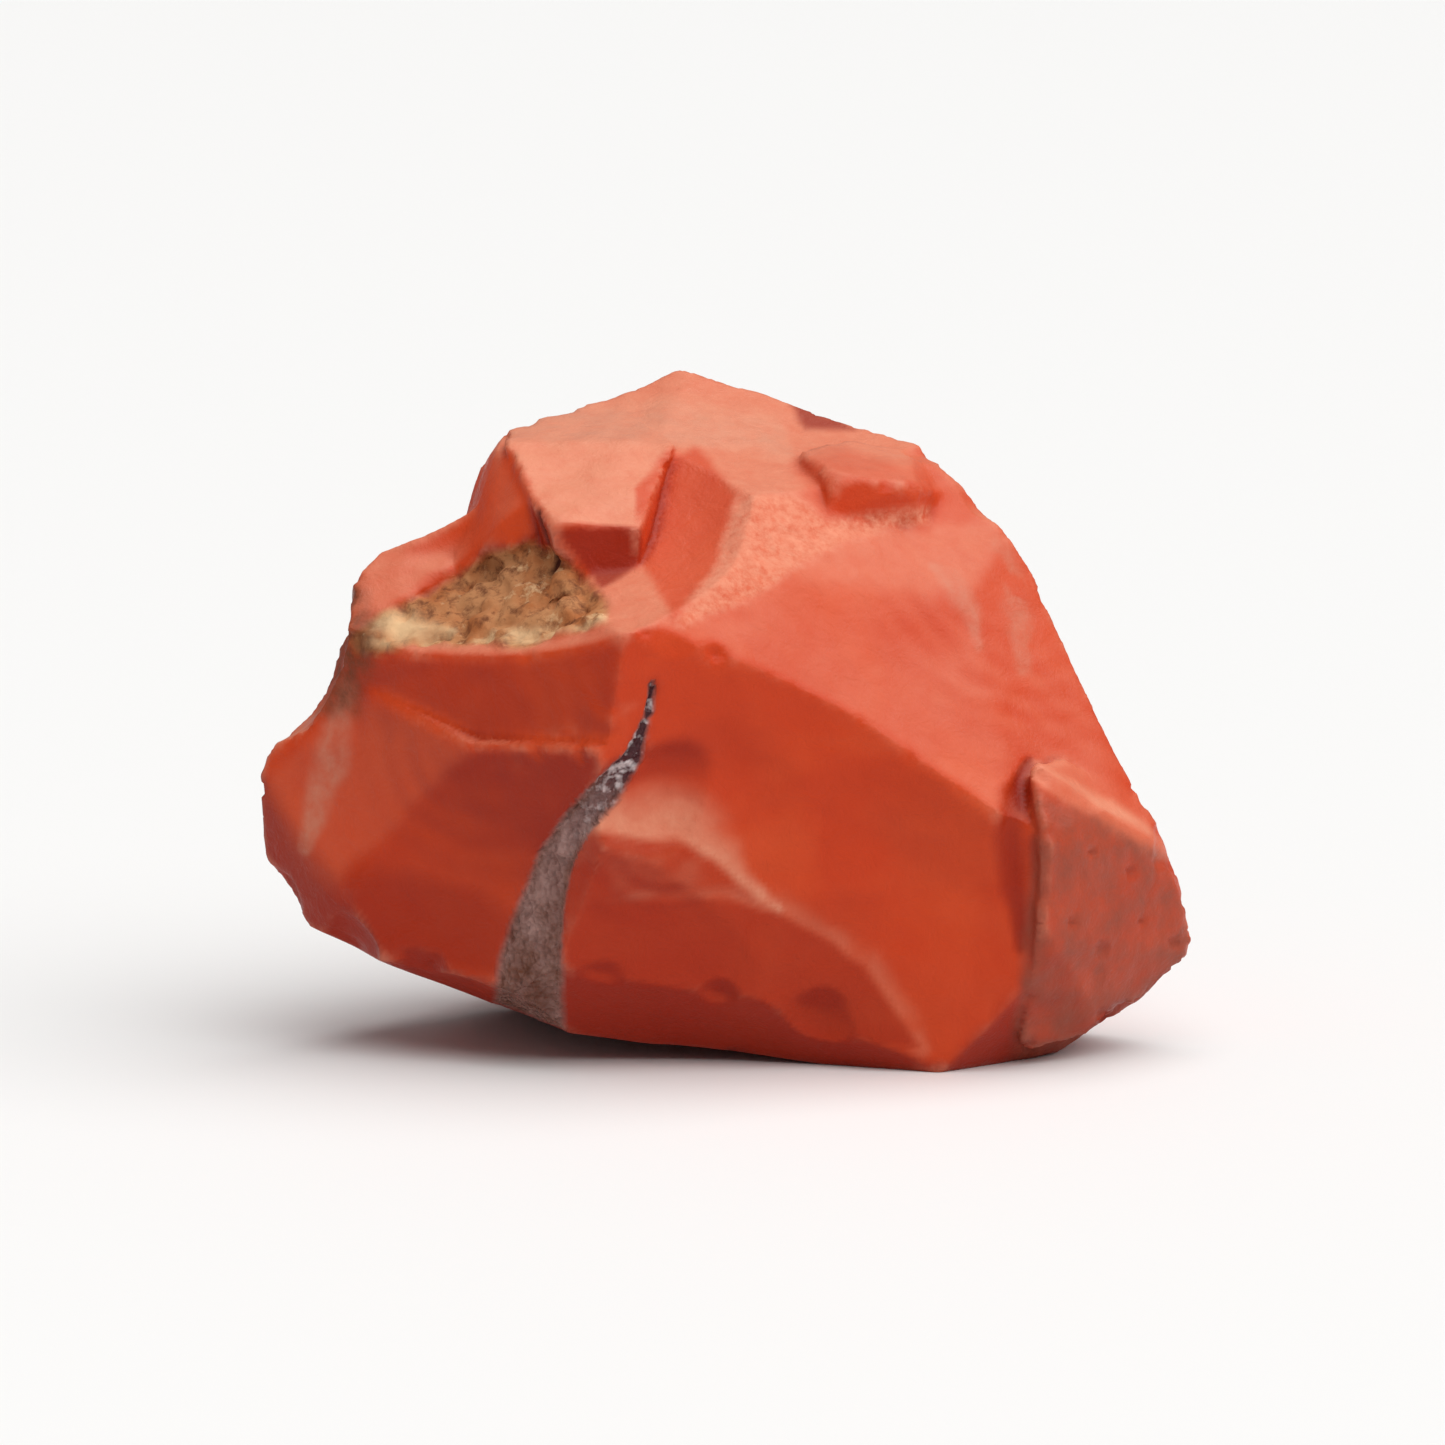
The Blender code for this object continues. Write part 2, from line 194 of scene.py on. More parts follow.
def beside(places: np.ndarray, route: Route) -> tuple[np.ndarray, np.ndarray]:
    """How places lie to a route that has a width, on the picture plane or in space.

    Args:
        places: The places, one row each.
        route: Points of the route, each with half the width there.

    Returns:
        Distance in half widths, and the share of the route's length at the nearest point.
    """
    best = np.full(len(places), 1.0e9)
    share = np.zeros(len(places))
    legs = len(route) - 1
    for leg in range(legs):
        a, b = np.array(route[leg][:-1]), np.array(route[leg + 1][:-1])
        along = np.clip(((places - a) @ (b - a)) / ((b - a) @ (b - a)), 0.0, 1.0)
        half = route[leg][-1] + along * (route[leg + 1][-1] - route[leg][-1])
        ratio = np.linalg.norm(places - a - along[:, None] * (b - a), axis=1) / half
        closer = ratio < best
        best = np.where(closer, ratio, best)
        share = np.where(closer, (leg + along) / legs, share)
    return best, share


def soft_max(a: np.ndarray, b: np.ndarray, width: float) -> np.ndarray:
    """The larger of two fields, rounded where they meet.

    Args:
        a: One field.
        b: The other field.
        width: How wide the rounding is.

    Returns:
        The joint field.
    """
    gap = np.clip(1.0 - np.abs(a - b) / width, 0.0, 1.0)
    return np.maximum(a, b) + gap * gap * width / 4.0


@dataclass(frozen=True)
class Scar:
    """A fracture face: three of its corners, the radius of its hollow, and its height over its width."""

    a: Point
    b: Point
    c: Point
    radius: float
    tall: float = 1.0

    def field(self, points: np.ndarray) -> np.ndarray:
        """Depth of points in the ball that struck the face.

        Args:
            points: The points, one row each.

        Returns:
            One depth for each point, negative inside the stone.
        """
        squeeze = np.array((1.0, 1.0, 1.0 / self.tall))
        a, b, c = (np.array(corner) * squeeze for corner in (self.a, self.b, self.c))
        side_b, side_c = b - a, c - a
        cross = np.cross(side_b, side_c)
        offset = (side_c @ side_c) * np.cross(cross, side_b) + (side_b @ side_b) * np.cross(side_c, cross)
        offset = offset / (2.0 * cross @ cross)
        normal = cross / np.linalg.norm(cross)
        if normal @ (a - np.array(CORE) * squeeze) < 0:
            normal = -normal
        reach = math.sqrt(max(self.radius**2 - offset @ offset, 0.0))
        centre = a + offset + normal * reach
        return self.radius - np.linalg.norm(points * squeeze - centre, axis=1)


class Lump:
    """A convex lump around its outer corners."""

    def __init__(self, corners: tuple[Point, ...]) -> None:
        """Finds the flat sides of the lump.

        Args:
            corners: The outer corners.
        """
        bm = bmesh.new()
        for corner in corners:
            bm.verts.new(corner)
        bmesh.ops.convex_hull(bm, input=bm.verts)
        bmesh.ops.recalc_face_normals(bm, faces=bm.faces)
        bm.normal_update()
        self.normals = np.array([face.normal for face in bm.faces])
        self.reaches = np.array([face.normal.dot(face.verts[0].co) for face in bm.faces])
        bm.free()

    def field(self, points: np.ndarray) -> np.ndarray:
        """How far points stand out of the lump, which is negative inside it."""
        return np.max(points @ self.normals.T - self.reaches, axis=1)


@dataclass(frozen=True)
class Chip:
    """A small ball that took this depth off a ridge."""

    place: Point
    radius: float
    depth: float
    tall: float = 1.0


# The chunk as a struck block: its corners, fractures, notch, ledges and chips. The corners of a fracture lie on
# the stone, and each fracture faces away from CORE.
BLOCK = Lump((
    (-30.9, -3.0, 17.8), (-30.2, -3.0, 13.0), (-27.2, -5.0, 8.7), (-22.4, -9.6, 7.1), (-15.5, -13.0, 5.8),
    (-26.6, -5.0, 23.6), (-24.9, -4.0, 30.9), (-22.7, -1.5, 33.0), (-15.2, -1.0, 40.6), (-14.3, 5.0, 41.6),
    (-7.8, 9.0, 42.9), (-2.7, 11.0, 44.4), (3.7, 11.0, 42.0), (8.4, 8.0, 40.6), (13.0, 5.0, 39.8),
    (15.8, 3.0, 37.2), (18.3, 1.0, 34.6), (20.6, 0.0, 31.4), (25.0, -2.0, 23.5), (29.1, -5.0, 15.2),
    (30.4, -5.0, 9.8), (31.0, -4.0, 7.0), (25.8, -4.0, 1.7), (22.2, -6.0, 0.5), (17.0, -9.5, 0.0),
    (-7.5, -20.0, 31.5), (-7.5, -20.0, 21.5), (18.5, -15.5, 18.5), (20.0, -15.0, 9.0), (-11.0, -16.5, 9.0),
    (-9.0, -14.5, 3.0), (12.0, -13.5, 0.0), (-24.5, -9.0, 27.5), (-3.0, -1.5, 40.8), (12.7, -1.5, 38.0),
    (-15.0, 14.0, 0.0), (17.0, 14.0, 0.0), (-28.0, 9.0, 20.0), (-13.0, 24.0, 18.0), (9.0, 25.0, 22.0),
    (24.0, 16.0, 14.0), (-14.0, 18.0, 34.0), (7.0, 20.0, 34.0),
))

SCARS = (
    Scar((-7.0, -19.0, 30.5), (17.5, -14.0, 18.0), (14.0, -12.2, 1.5), 50.0, 2.0),
    Scar((-7.0, -19.0, 30.5), (17.5, -14.0, 18.0), (16.0, -0.5, 35.5), 400.0),
    Scar((18.4, 0.0, 33.3), (19.5, -10.2, 20.5), (25.4, -2.0, 23.4), 200.0),
    Scar((-16.2, -12.8, 21.6), (-26.3, -5.5, 23.3), (-27.1, -7.0, 9.5), 110.0),
    Scar((-16.2, -12.8, 21.6), (-7.5, -18.2, 22.0), (-22.4, -8.9, 7.3), 45.0),
    Scar((-10.8, -15.1, 11.0), (4.0, -14.6, 11.6), (-2.5, -12.3, 4.6), 30.0),
    Scar((3.0, -14.6, 12.0), (13.0, -12.6, 2.5), (3.6, -12.3, 4.6), 26.0),
    Scar((-10.5, -14.2, 7.6), (3.1, -12.9, 5.4), (1.0, -8.0, -0.5), 60.0),
    Scar((-15.3, -12.4, 6.2), (-22.3, -9.3, 7.2), (-12.0, -3.0, -0.5), 30.0),
    Scar((22.2, -6.0, 0.6), (28.5, -4.0, 4.0), (20.0, 4.0, -0.5), 50.0),
    Scar((-7.3, -18.5, 29.1), (-23.7, -8.5, 27.4), (-12.6, -6.5, 33.2), 45.0),
    Scar((-13.0, -7.5, 32.6), (-20.0, -4.0, 31.4), (-12.4, -5.5, 35.0), 9.0),
    Scar((-1.9, -1.0, 40.2), (-3.6, -17.5, 30.5), (0.4, -5.0, 37.4), 30.0),
    Scar((-2.5, -18.5, 30.2), (13.6, -1.0, 34.9), (4.7, -4.0, 37.4), 150.0),
    Scar((-22.7, -1.0, 32.9), (-17.4, 0.5, 34.7), (-19.0, 8.0, 34.0), 18.0),
    Scar((-27.0, 0.0, 23.1), (-24.7, -4.5, 26.2), (-24.6, 0.0, 31.0), 10.0),
    Scar((-14.1, 5.0, 41.4), (-2.7, 11.0, 44.1), (-3.3, -1.0, 40.2), 80.0),
    Scar((-2.7, 11.0, 44.2), (9.2, 8.0, 41.0), (2.0, -2.0, 38.4), 90.0),
    Scar((-30.6, -2.0, 15.0), (-24.4, 4.0, 30.5), (-14.0, 22.0, 15.0), 60.0),
    Scar((30.5, -4.0, 9.0), (20.0, 1.0, 32.0), (13.0, 22.0, 15.0), 75.0),
    Scar((-14.0, 21.0, 13.0), (-7.0, 18.0, 36.0), (12.0, 21.5, 20.0), 55.0),
    Scar((-17.0, 11.0, 0.0), (17.0, 12.0, 0.0), (2.0, 23.0, 15.0), 70.0),
    Scar((-3.0, 11.5, 43.9), (-20.0, 8.0, 34.5), (-7.0, 19.0, 34.0), 45.0),
    Scar((-2.5, 12.5, 44.5), (16.5, 5.0, 38.8), (8.0, 20.0, 31.0), 120.0),
    Scar((19.2, -14.7, 21.0), (19.2, -14.7, 8.6), (21.04, -14.36, 14.8), 2.4, 3.0),
)

NOTCHES = (
    Lump((
        (-5.8, -18.8, 32.0), (-23.6, -8.0, 31.0), (-23.0, -7.4, 25.0), (-15.6, -12.2, 22.3),
        (-7.4, -17.6, 22.8), (-5.5, -26.0, 32.0), (-27.0, -14.0, 31.0), (-26.5, -13.0, 23.4),
        (-19.0, -18.0, 20.2), (-7.0, -25.0, 21.0),
    )),
)

LEDGES = (
    Lump((
        (-14.5, -1.0, 40.4), (-3.3, -1.0, 40.2), (-5.6, -9.0, 35.5), (-11.3, -9.0, 35.8), (-12.0, -6.0, 37.5),
        (-10.9, -9.1, 34.0), (-5.6, -9.3, 33.0), (-7.9, -9.6, 31.0), (-11.3, -5.0, 32.5), (-14.1, 5.0, 41.4),
        (-7.8, 9.0, 42.5), (-4.0, 4.0, 36.0), (-12.0, 2.0, 34.0),
    )),
    Lump((
        (-16.0, 3.0, 38.7), (-14.9, 0.0, 39.8), (-12.0, -6.0, 37.4), (-17.4, 0.5, 34.9), (-18.0, -4.0, 31.6),
        (-12.3, -6.5, 34.2), (-10.0, -3.0, 32.0), (-14.1, 5.0, 41.3), (-12.0, 6.0, 36.0), (-16.0, 5.0, 33.0),
    )),
    Lump((
        (-24.6, -4.0, 30.6), (-22.5, -2.0, 32.7), (-18.7, 0.0, 34.5), (-18.0, -4.5, 31.9),
        (-21.8, -5.2, 30.0), (-24.0, -6.0, 28.6), (-22.0, 2.0, 30.0), (-17.5, 1.0, 32.0),
    )),
    Lump((
        (8.3, 4.0, 40.1), (12.9, 4.5, 39.4), (12.6, 1.0, 38.9), (12.8, -1.9, 37.7), (7.0, -3.7, 38.4),
        (5.0, 1.0, 39.5), (12.9, -1.3, 35.0), (6.7, -4.2, 35.4), (15.3, 3.0, 36.6), (9.0, 6.0, 34.0),
    )),
    Lump((
        (19.8, -12.6, 20.9), (20.8, -15.0, 16.6), (20.6, -14.6, 10.0), (19.4, -10.4, 1.2),
        (25.0, -10.2, 17.3), (29.0, -6.5, 14.0), (22.1, -8.0, 20.5), (28.9, -5.0, 15.0), (30.3, -5.0, 9.8),
        (30.9, -4.2, 7.0), (25.6, -6.8, 2.0), (22.0, -3.0, 6.0), (20.0, -6.0, 16.0),
    )),
)

CHIPS = (
    Chip((-4.0, -16.9, 19.0), 9.0, 0.9),
    Chip((-3.8, -15.6, 13.6), 30.0, 0.7, 0.4),
    Chip((-3.2, -18.0, 29.4), 5.0, 0.4),
    Chip((-0.6, -17.3, 28.8), 3.0, 0.3),
    Chip((29.2, -6.2, 14.0), 4.0, 0.6),
    Chip((25.6, -6.6, 2.1), 4.5, 0.6),
    Chip((-29.0, -4.0, 11.4), 4.5, 0.6),
    Chip((-24.8, -8.0, 8.2), 4.0, 0.9),
    Chip((-11.5, 7.0, 42.0), 5.0, 0.5),
    Chip((13.6, 3.6, 38.9), 3.5, 0.5),
    Chip((16.8, 2.0, 36.0), 4.0, 0.5),
    Chip((-19.8, -10.4, 6.8), 4.0, 0.6),
    Chip((-7.6, -13.6, 6.6), 4.0, 0.4),
    Chip((-0.6, -12.9, 5.6), 5.0, 0.3),
    Chip((6.4, -12.6, 4.0), 6.0, 0.3),
    Chip((-14.0, 21.0, 25.0), 40.0, 2.0),
    Chip((13.0, 20.0, 27.0), 45.0, 2.2),
    Chip((-13.0, 21.0, 12.0), 30.0, 1.8),
    Chip((12.0, 21.0, 14.0), 26.0, 1.6, 1.3),
    Chip((0.0, 23.0, 14.0), 34.0, 1.4),
    Chip((-7.0, 18.0, 35.0), 30.0, 1.6),
    Chip((8.0, 18.0, 33.0), 24.0, 1.2),
    Chip((-22.0, 6.0, 31.0), 28.0, 1.2),
    Chip((24.5, 12.0, 14.0), 32.0, 2.0, 1.4),
    Chip((-27.0, 6.0, 17.0), 36.0, 1.2),
    Chip((-19.0, 12.0, 7.0), 26.0, 1.8),
    Chip((20.0, 11.0, 6.0), 28.0, 1.6),
    Chip((1.0, 14.0, 41.5), 22.0, 0.8),
    Chip((-16.0, 10.0, 37.0), 20.0, 1.0),
    Chip((-16.5, 13.0, 2.0), 20.0, 1.0),
    Chip((17.0, 13.0, 2.0), 20.0, 1.2),
)


class Mask(Enum):
    """The maps of the stone's marks and of its painted highlight, sheen and shade, one attribute each."""

    VEIN = "vein"
    MATRIX = "matrix"
    GRAIN = "grain"
    GREY = "grey"
    PALE_AND_HIGHLIGHT = "pale"
    EDGE = "edge"
    HOLLOW_SHADE = "hollow"
    STAIN = "stain"
    MILKY_AND_SHEEN = "milky"
    DARK = "dark"
    DRUSE = "druse"
    SHADE = "shade"
    SCOOP = "scoop"
    CREAM = "cream"


@dataclass(frozen=True)
class Marks:
    """Outlines and routes of the stone's marks, and of the places given painted highlight and painted shade, in
    millimetres.

    They lie on the front picture plane. A route ends each point with half its width there, and one whose
    points have four numbers lies in space.
    """

    vein: Route = (
        (-4.5, 2.8, 0.12), (-4.6, 2.1, 0.2), (-5.3, -0.3, 0.3), (-5.9, -2.4, 0.55), (-7.5, -4.4, 0.95),
        (-9.4, -6.4, 0.95), (-11.2, -9.3, 1.15), (-12.2, -12.6, 1.5), (-12.8, -15.8, 2.0),
        (-12.9, -18.5, 2.2), (-12.9, -21.2, 2.4),
    )
    dark_line: Route = (
        (-24.9, -7.6, 25.2, 0.2), (-23.7, -8.6, 24.3, 0.35), (-21.5, -10.2, 23.2, 0.3),
        (-19.3, -11.8, 22.4, 0.25), (-17.1, -13.3, 21.9, 0.1),
    )
    milky_band: Route = (
        (-24.9, 2.1, 0.7), (-25.5, -0.3, 0.9), (-26.1, -2.9, 1.0), (-26.9, -5.5, 0.9), (-27.9, -8.4, 0.4),
    )
    crack: Route = (
        (-12.3, -7.3, 36.9, 0.1), (-11.6, -7.5, 35.2, 0.3), (-11.1, -8.0, 33.4, 0.3),
        (-10.8, -8.5, 32.0, 0.15),
    )
    crevice: Route = (
        (20.3, -2.6, 0.2), (19.5, -4.8, 0.8), (19.0, -7.4, 1.0), (19.4, -10.6, 0.8), (19.9, -14.8, 0.4),
    )
    bevel: Route = ((20.4, -3.1, 0.6), (25.3, -5.9, 1.0), (29.0, -8.6, 0.8))
    roof_shade: Outline = ((3.9, 21.6), (6.1, 21.4), (8.8, 19.4), (5.4, 19.5))
    fold_streak: Route = ((18.5, 11.5, 0.8), (19.6, 7.6, 1.0), (20.2, 3.2, 0.5))
    matrix: Outline = (
        (-25.1, 5.8), (-22.5, 7.4), (-18.6, 9.3), (-15.5, 11.1), (-12.5, 11.9), (-11.2, 11.3), (-8.1, 8.7),
        (-7.5, 6.7), (-12.9, 5.1), (-20.8, 5.2), (-24.2, 4.5),
    )
    stain: Outline = ((-26.2, 9.6), (-23.9, 9.2), (-22.9, 6.6), (-23.3, 3.6), (-24.2, 0.6), (-26.8, 0.6))
    step_wall: Outline = ((-11.4, 12.9), (-5.6, 12.8), (-5.4, 10.4), (-8.1, 8.9))
    low_band: Outline = (
        (-10.9, -12.2), (-7.4, -12.0), (-3.3, -11.6), (0.6, -11.6), (3.7, -12.5), (9.3, -16.0), (13.3, -21.6),
        (-2.0, -21.6), (-10.7, -17.0),
    )
    band_crest: Route = (
        (-7.4, -12.1, 0.5), (-3.3, -11.6, 0.8), (0.6, -11.7, 0.8), (3.7, -12.5, 1.3), (9.3, -16.0, 1.6),
        (13.3, -21.6, 0.8),
    )
    slope_crest: Route = (
        (-9.4, -7.2, 1.2), (-6.4, -7.4, 3.4), (-3.3, -7.7, 4.0), (-0.6, -9.0, 2.2), (1.1, -10.7, 1.2),
        (3.7, -12.5, 0.5),
    )
    matrix_rim: Route = (
        (-23.4, 5.8, 0.7), (-20.2, 5.7, 0.6), (-17.3, 5.9, 0.5), (-12.0, 5.9, 0.5), (-7.7, 6.6, 0.3),
    )
    scoop_streak: Route = ((14.0, 10.4, 0.3), (15.2, 9.4, 0.8), (16.3, 7.8, 0.9), (17.0, 5.2, 0.4))
    chipped_lens: Outline = (
        (-9.4, -7.3), (-6.4, -7.5), (-3.3, -7.8), (-0.6, -9.1), (1.1, -10.8), (3.7, -12.6), (0.6, -11.6),
        (-3.3, -11.5), (-7.4, -12.0), (-10.9, -12.3),
    )
    left_low: Outline = (
        (-27.3, -11.6), (-22.9, -9.0), (-15.5, -10.7), (-13.0, -13.3), (-14.1, -17.7), (-22.5, -16.4),
        (-27.3, -13.6),
    )
    cream: Outline = ((-23.4, 6.7), (-21.2, 7.4), (-19.0, 6.3), (-21.6, 5.6))
    grainy: Outline = (
        (1.0, 15.0), (4.8, 15.2), (6.7, 13.5), (13.7, 14.5), (13.7, 13.3), (9.3, 12.4), (5.4, 10.6),
        (2.4, 8.5), (-2.7, 6.3), (-3.3, 6.7), (-0.7, 9.8),
    )
    grey_block: Outline = (
        (20.6, -4.4), (25.5, -6.6), (29.4, -9.0), (32.0, -15.1), (25.7, -20.9), (22.4, -22.3), (19.1, -22.6),
        (20.2, -13.3), (20.9, -7.2),
    )
    top_face: Outline = (
        (-14.2, 20.6), (-7.7, 22.6), (-2.7, 24.4), (3.7, 21.8), (4.5, 17.6), (-1.6, 18.5), (-14.2, 18.9),
    )
    top_ledge: Outline = (
        (-14.6, 18.7), (-3.3, 18.5), (-5.9, 15.4), (-5.7, 12.8), (-11.6, 13.2), (-12.0, 15.2),
    )
    top_scoops: Outline = ((-1.6, 18.5), (1.0, 15.0), (-0.7, 9.8), (-3.3, 6.7), (-5.5, 10.6), (-5.9, 15.4))
    step_block: Outline = (
        (4.5, 17.6), (8.2, 18.3), (12.4, 17.2), (13.0, 18.5), (17.6, 13.3), (13.7, 13.5), (6.7, 13.2),
    )
    left_face: Outline = ((-16.8, -2.2), (-24.0, 1.7), (-31.0, -4.2), (-27.5, -12.5))
    hackles: Outline = ((-15.0, -3.2), (-11.2, -2.6), (-7.0, -1.3), (-6.0, 1.0), (-8.6, 0.9), (-11.0, -0.6))
    block_pits: Route = (
        (21.6, -7.4, 0.7), (29.0, -9.2, 0.5), (30.0, -14.6, 0.5), (25.3, -19.6, 0.6), (20.4, -21.6, 0.5),
        (25.2, -15.1, 0.55), (27.2, -9.9, 0.45), (23.3, -13.3, 0.4), (24.6, -8.6, 0.35), (27.9, -13.2, 0.35),
    )


@dataclass(frozen=True)
class Ripples:
    """Faint rings that a blow left on a fracture face, around the point that was struck."""

    struck: Point
    spacing: float
    height: float
    nearest: float
    farthest: float

    def relief(self, points: np.ndarray) -> np.ndarray:
        """Height of the rings.

        Args:
            points: The stone's points.

        Returns:
            One height for each point, in millimetres.
        """
        distance = np.linalg.norm(points - np.array(self.struck), axis=1)
        bent = distance + 0.5 * noise(points, 5.0, 81)
        rings = np.sin(2.0 * math.pi * bent / self.spacing) * (0.6 + 0.4 * noise(points, 4.0, 82))
        inner = smooth(self.nearest, self.nearest + 2.0, distance)
        outer = smooth(self.farthest, self.farthest - 4.0, distance)
        return self.height * rings * (inner * outer)


@dataclass
class JasperChunk:
    """The stone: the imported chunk's own shape with a fine skin, broken relief and the maps of its marks."""

    node: str = "jasper_chunk"
    skin: float = 0.325
    soften_steps: int = 2
    fit_steps: int = 3
    ridge_width: float = 0.15
    corner_width: float = 0.4
    wander: float = 0.2
    wander_size: float = 6.5
    ledge_wander: float = 0.25
    ledge_wander_size: float = 3.5
    ridge_reach: float = 1.2
    chip_warp: float = 0.14
    ridge_chips: Route = ((16, 2.0, 4.0, 0.06, 0.15), (190, 0.5, 1.6, 0.03, 0.12))
    chip_ridge: float = 0.04
    chip_proud: float = 0.02
    lowest_chip: float = 1.0
    settle: float = 0.3
    relax_steps: int = 12
    stretched: float = 1.8
    slope_step: float = 0.04
    corner_hold: float = 0.02
    longest_move: float = 0.6
    farthest_fit: float = 1.5
    ripples: tuple[Ripples, ...] = (
        Ripples((19.0, -2.0, 34.0), 1.9, 0.02, 3.0, 16.0),
        Ripples((-16.5, -13.5, 22.5), 2.1, 0.02, 2.5, 13.0),
        Ripples((-3.5, -16.5, 15.5), 1.3, 0.03, 1.0, 7.0),
        Ripples((24.0, 8.0, 30.0), 2.4, 0.03, 3.0, 22.0),
        Ripples((-20.0, 10.0, 34.0), 2.6, 0.05, 3.0, 24.0),
        Ripples((0.0, 20.0, 4.0), 2.4, 0.05, 3.0, 20.0),
    )
    seed: int = 23
    shade_from: Point = (0.35, -0.15, 0.92)
    view: FrontView = FrontView()
    marks: Marks = Marks()

    def build(self) -> bpy.types.Object:
        """Makes the finished mesh.

        Returns:
            The stone's object, at the origin.
        """
        stone = self.fine_copy()
        mesh = stone.data
        self.read_edges(mesh)
        points = self.points(mesh)
        packed = (points, self.normals(mesh))
        self.store(mesh, self.settled(self.fit_faces(points)))
        self.even_out(stone)
        mesh = stone.data
        self.read_edges(mesh)
        points = self.settled(self.fit_faces(self.points(mesh)))
        points = self.strike_chips(points, packed)
        self.store(mesh, points)
        normals = self.normals(mesh)
        places = self.view.plane(points)
        front = smooth(0.05, -0.25, normals @ self.facing()) * smooth(9.0, 4.0, points[:, 1])
        maps = self.find_marks(points, places, front)
        points = points + normals * self.relief(points, places, maps)[:, None]
        points[:, 2] = np.maximum(points[:, 2], -STONE_SHIFT[2])
        self.store(mesh, points)
        normals = self.normals(mesh)
        self.find_edges(points, normals, maps)
        # Painted highlight: points that face up are turned paler, less so in the top scoops and on the step
        # block.
        facing_up = self.spread(normals, 2)[:, 2]
        painted_top_highlight = 0.85 * smooth(0.35, 0.98, facing_up) * (1.0 - 0.75 * maps[Mask.SCOOP])
        maps[Mask.PALE_AND_HIGHLIGHT] = np.clip(maps[Mask.PALE_AND_HIGHLIGHT] + painted_top_highlight, 0.0, 1.0)
        away = np.clip((0.08 - self.spread(normals, 2) @ np.array(self.shade_from)) / 0.42, 0.0, 0.8)
        maps[Mask.SHADE] = np.maximum(maps[Mask.SHADE], away)
        for mask, values in maps.items():
            layer = mesh.attributes.new(mask.value, "FLOAT", "POINT")
            layer.data.foreach_set("value", values.astype(np.float32))
        return stone

    def facing(self) -> np.ndarray:
        """Direction in which the photograph looks."""
        angle = math.radians(self.view.elevation)
        return np.array((0.0, math.cos(angle), -math.sin(angle)))

    def fine_copy(self) -> bpy.types.Object:
        """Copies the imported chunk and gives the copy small, even faces.

        Returns:
            The copy's object.
        """
        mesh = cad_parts[self.node].data.copy()
        mesh.materials.clear()
        mesh.name = "jasper_stone"
        bm = bmesh.new()
        bm.from_mesh(mesh)
        bmesh.ops.remove_doubles(bm, verts=bm.verts, dist=0.001 * MM)
        bm.to_mesh(mesh)
        bm.free()
        stone = bpy.data.objects.new("jasper_stone", mesh)
        bpy.context.scene.collection.objects.link(stone)
        self.even_out(stone)
        return stone

    def even_out(self, stone: bpy.types.Object) -> None:
        """Gives the stone small, even faces in place of its own.

        Args:
            stone: The object whose mesh is replaced.
        """
        mesh = stone.data
        modifier = stone.modifiers.new("skin", "REMESH")
        modifier.mode = "VOXEL"
        modifier.voxel_size = self.skin * MM
        depsgraph = bpy.context.evaluated_depsgraph_get()
        fine = bpy.data.meshes.new_from_object(stone.evaluated_get(depsgraph))
        stone.modifiers.clear()
        stone.data = fine
        bpy.data.meshes.remove(mesh)
        fine.name = "jasper_stone"
        bm = bmesh.new()
        bm.from_mesh(fine)
        for _ in range(self.soften_steps):
            bmesh.ops.smooth_vert(
                bm, verts=bm.verts, factor=0.5, use_axis_x=True, use_axis_y=True, use_axis_z=True
            )
        for face in bm.faces:
            face.smooth = True
        bm.to_mesh(fine)
        bm.free()

    def read_edges(self, mesh: bpy.types.Mesh) -> None:
        """Notes which points are neighbours.

        Args:
            mesh: The stone's mesh.
        """
        pairs = np.empty(len(mesh.edges) * 2, dtype=np.int64)
        mesh.edges.foreach_get("vertices", pairs)
        self.pairs = pairs.reshape(-1, 2)
        self.neighbours = np.bincount(pairs, minlength=len(mesh.vertices))[:, None]

    def spread(self, values: np.ndarray, steps: int = 1) -> np.ndarray:
        """The mean of each point's neighbours.

        Args:
            values: One row for each point.
            steps: How often the mean is taken.

        Returns:
            The means, one row each.
        """
        for _ in range(steps):
            total = np.zeros_like(values)
            for axis in range(values.shape[1]):
                column = values[:, axis]
                one = np.bincount(self.pairs[:, 0], column[self.pairs[:, 1]], minlength=len(values))
                other = np.bincount(self.pairs[:, 1], column[self.pairs[:, 0]], minlength=len(values))
                total[:, axis] = one + other
            values = total / self.neighbours
        return values

    def settled(self, points: np.ndarray) -> np.ndarray:
        """Draws points to the middle of their neighbours, once, and often where the faces are stretched.

        Args:
            points: The stone's points.

        Returns:
            The drawn points.
        """
        points = points + (self.spread(points) - points) * self.settle
        for _ in range(self.relax_steps):
            lengths = np.linalg.norm(points[self.pairs[:, 0]] - points[self.pairs[:, 1]], axis=1)
            far = np.zeros(len(points))
            far[self.pairs[lengths > self.stretched * self.skin].ravel()] = 1.0
            share = np.minimum(self.spread(far[:, None], 2) * 3.0, 0.7)
            points = points + (self.spread(points) - points) * share
        return points

    def drift(self, points: np.ndarray) -> tuple[np.ndarray, np.ndarray]:
        """How far the real surface wanders from the drawn one.

        Args:
            points: The points.

        Returns:
            The moves for the fracture faces, and those for the ledges.
        """
        faces = np.stack([noise(points, self.wander_size, 51 + axis) for axis in range(3)], axis=1)
        ledges = np.stack([noise(points, self.ledge_wander_size, 61 + axis) for axis in range(3)], axis=1)
        return faces * self.wander, ledges * self.ledge_wander

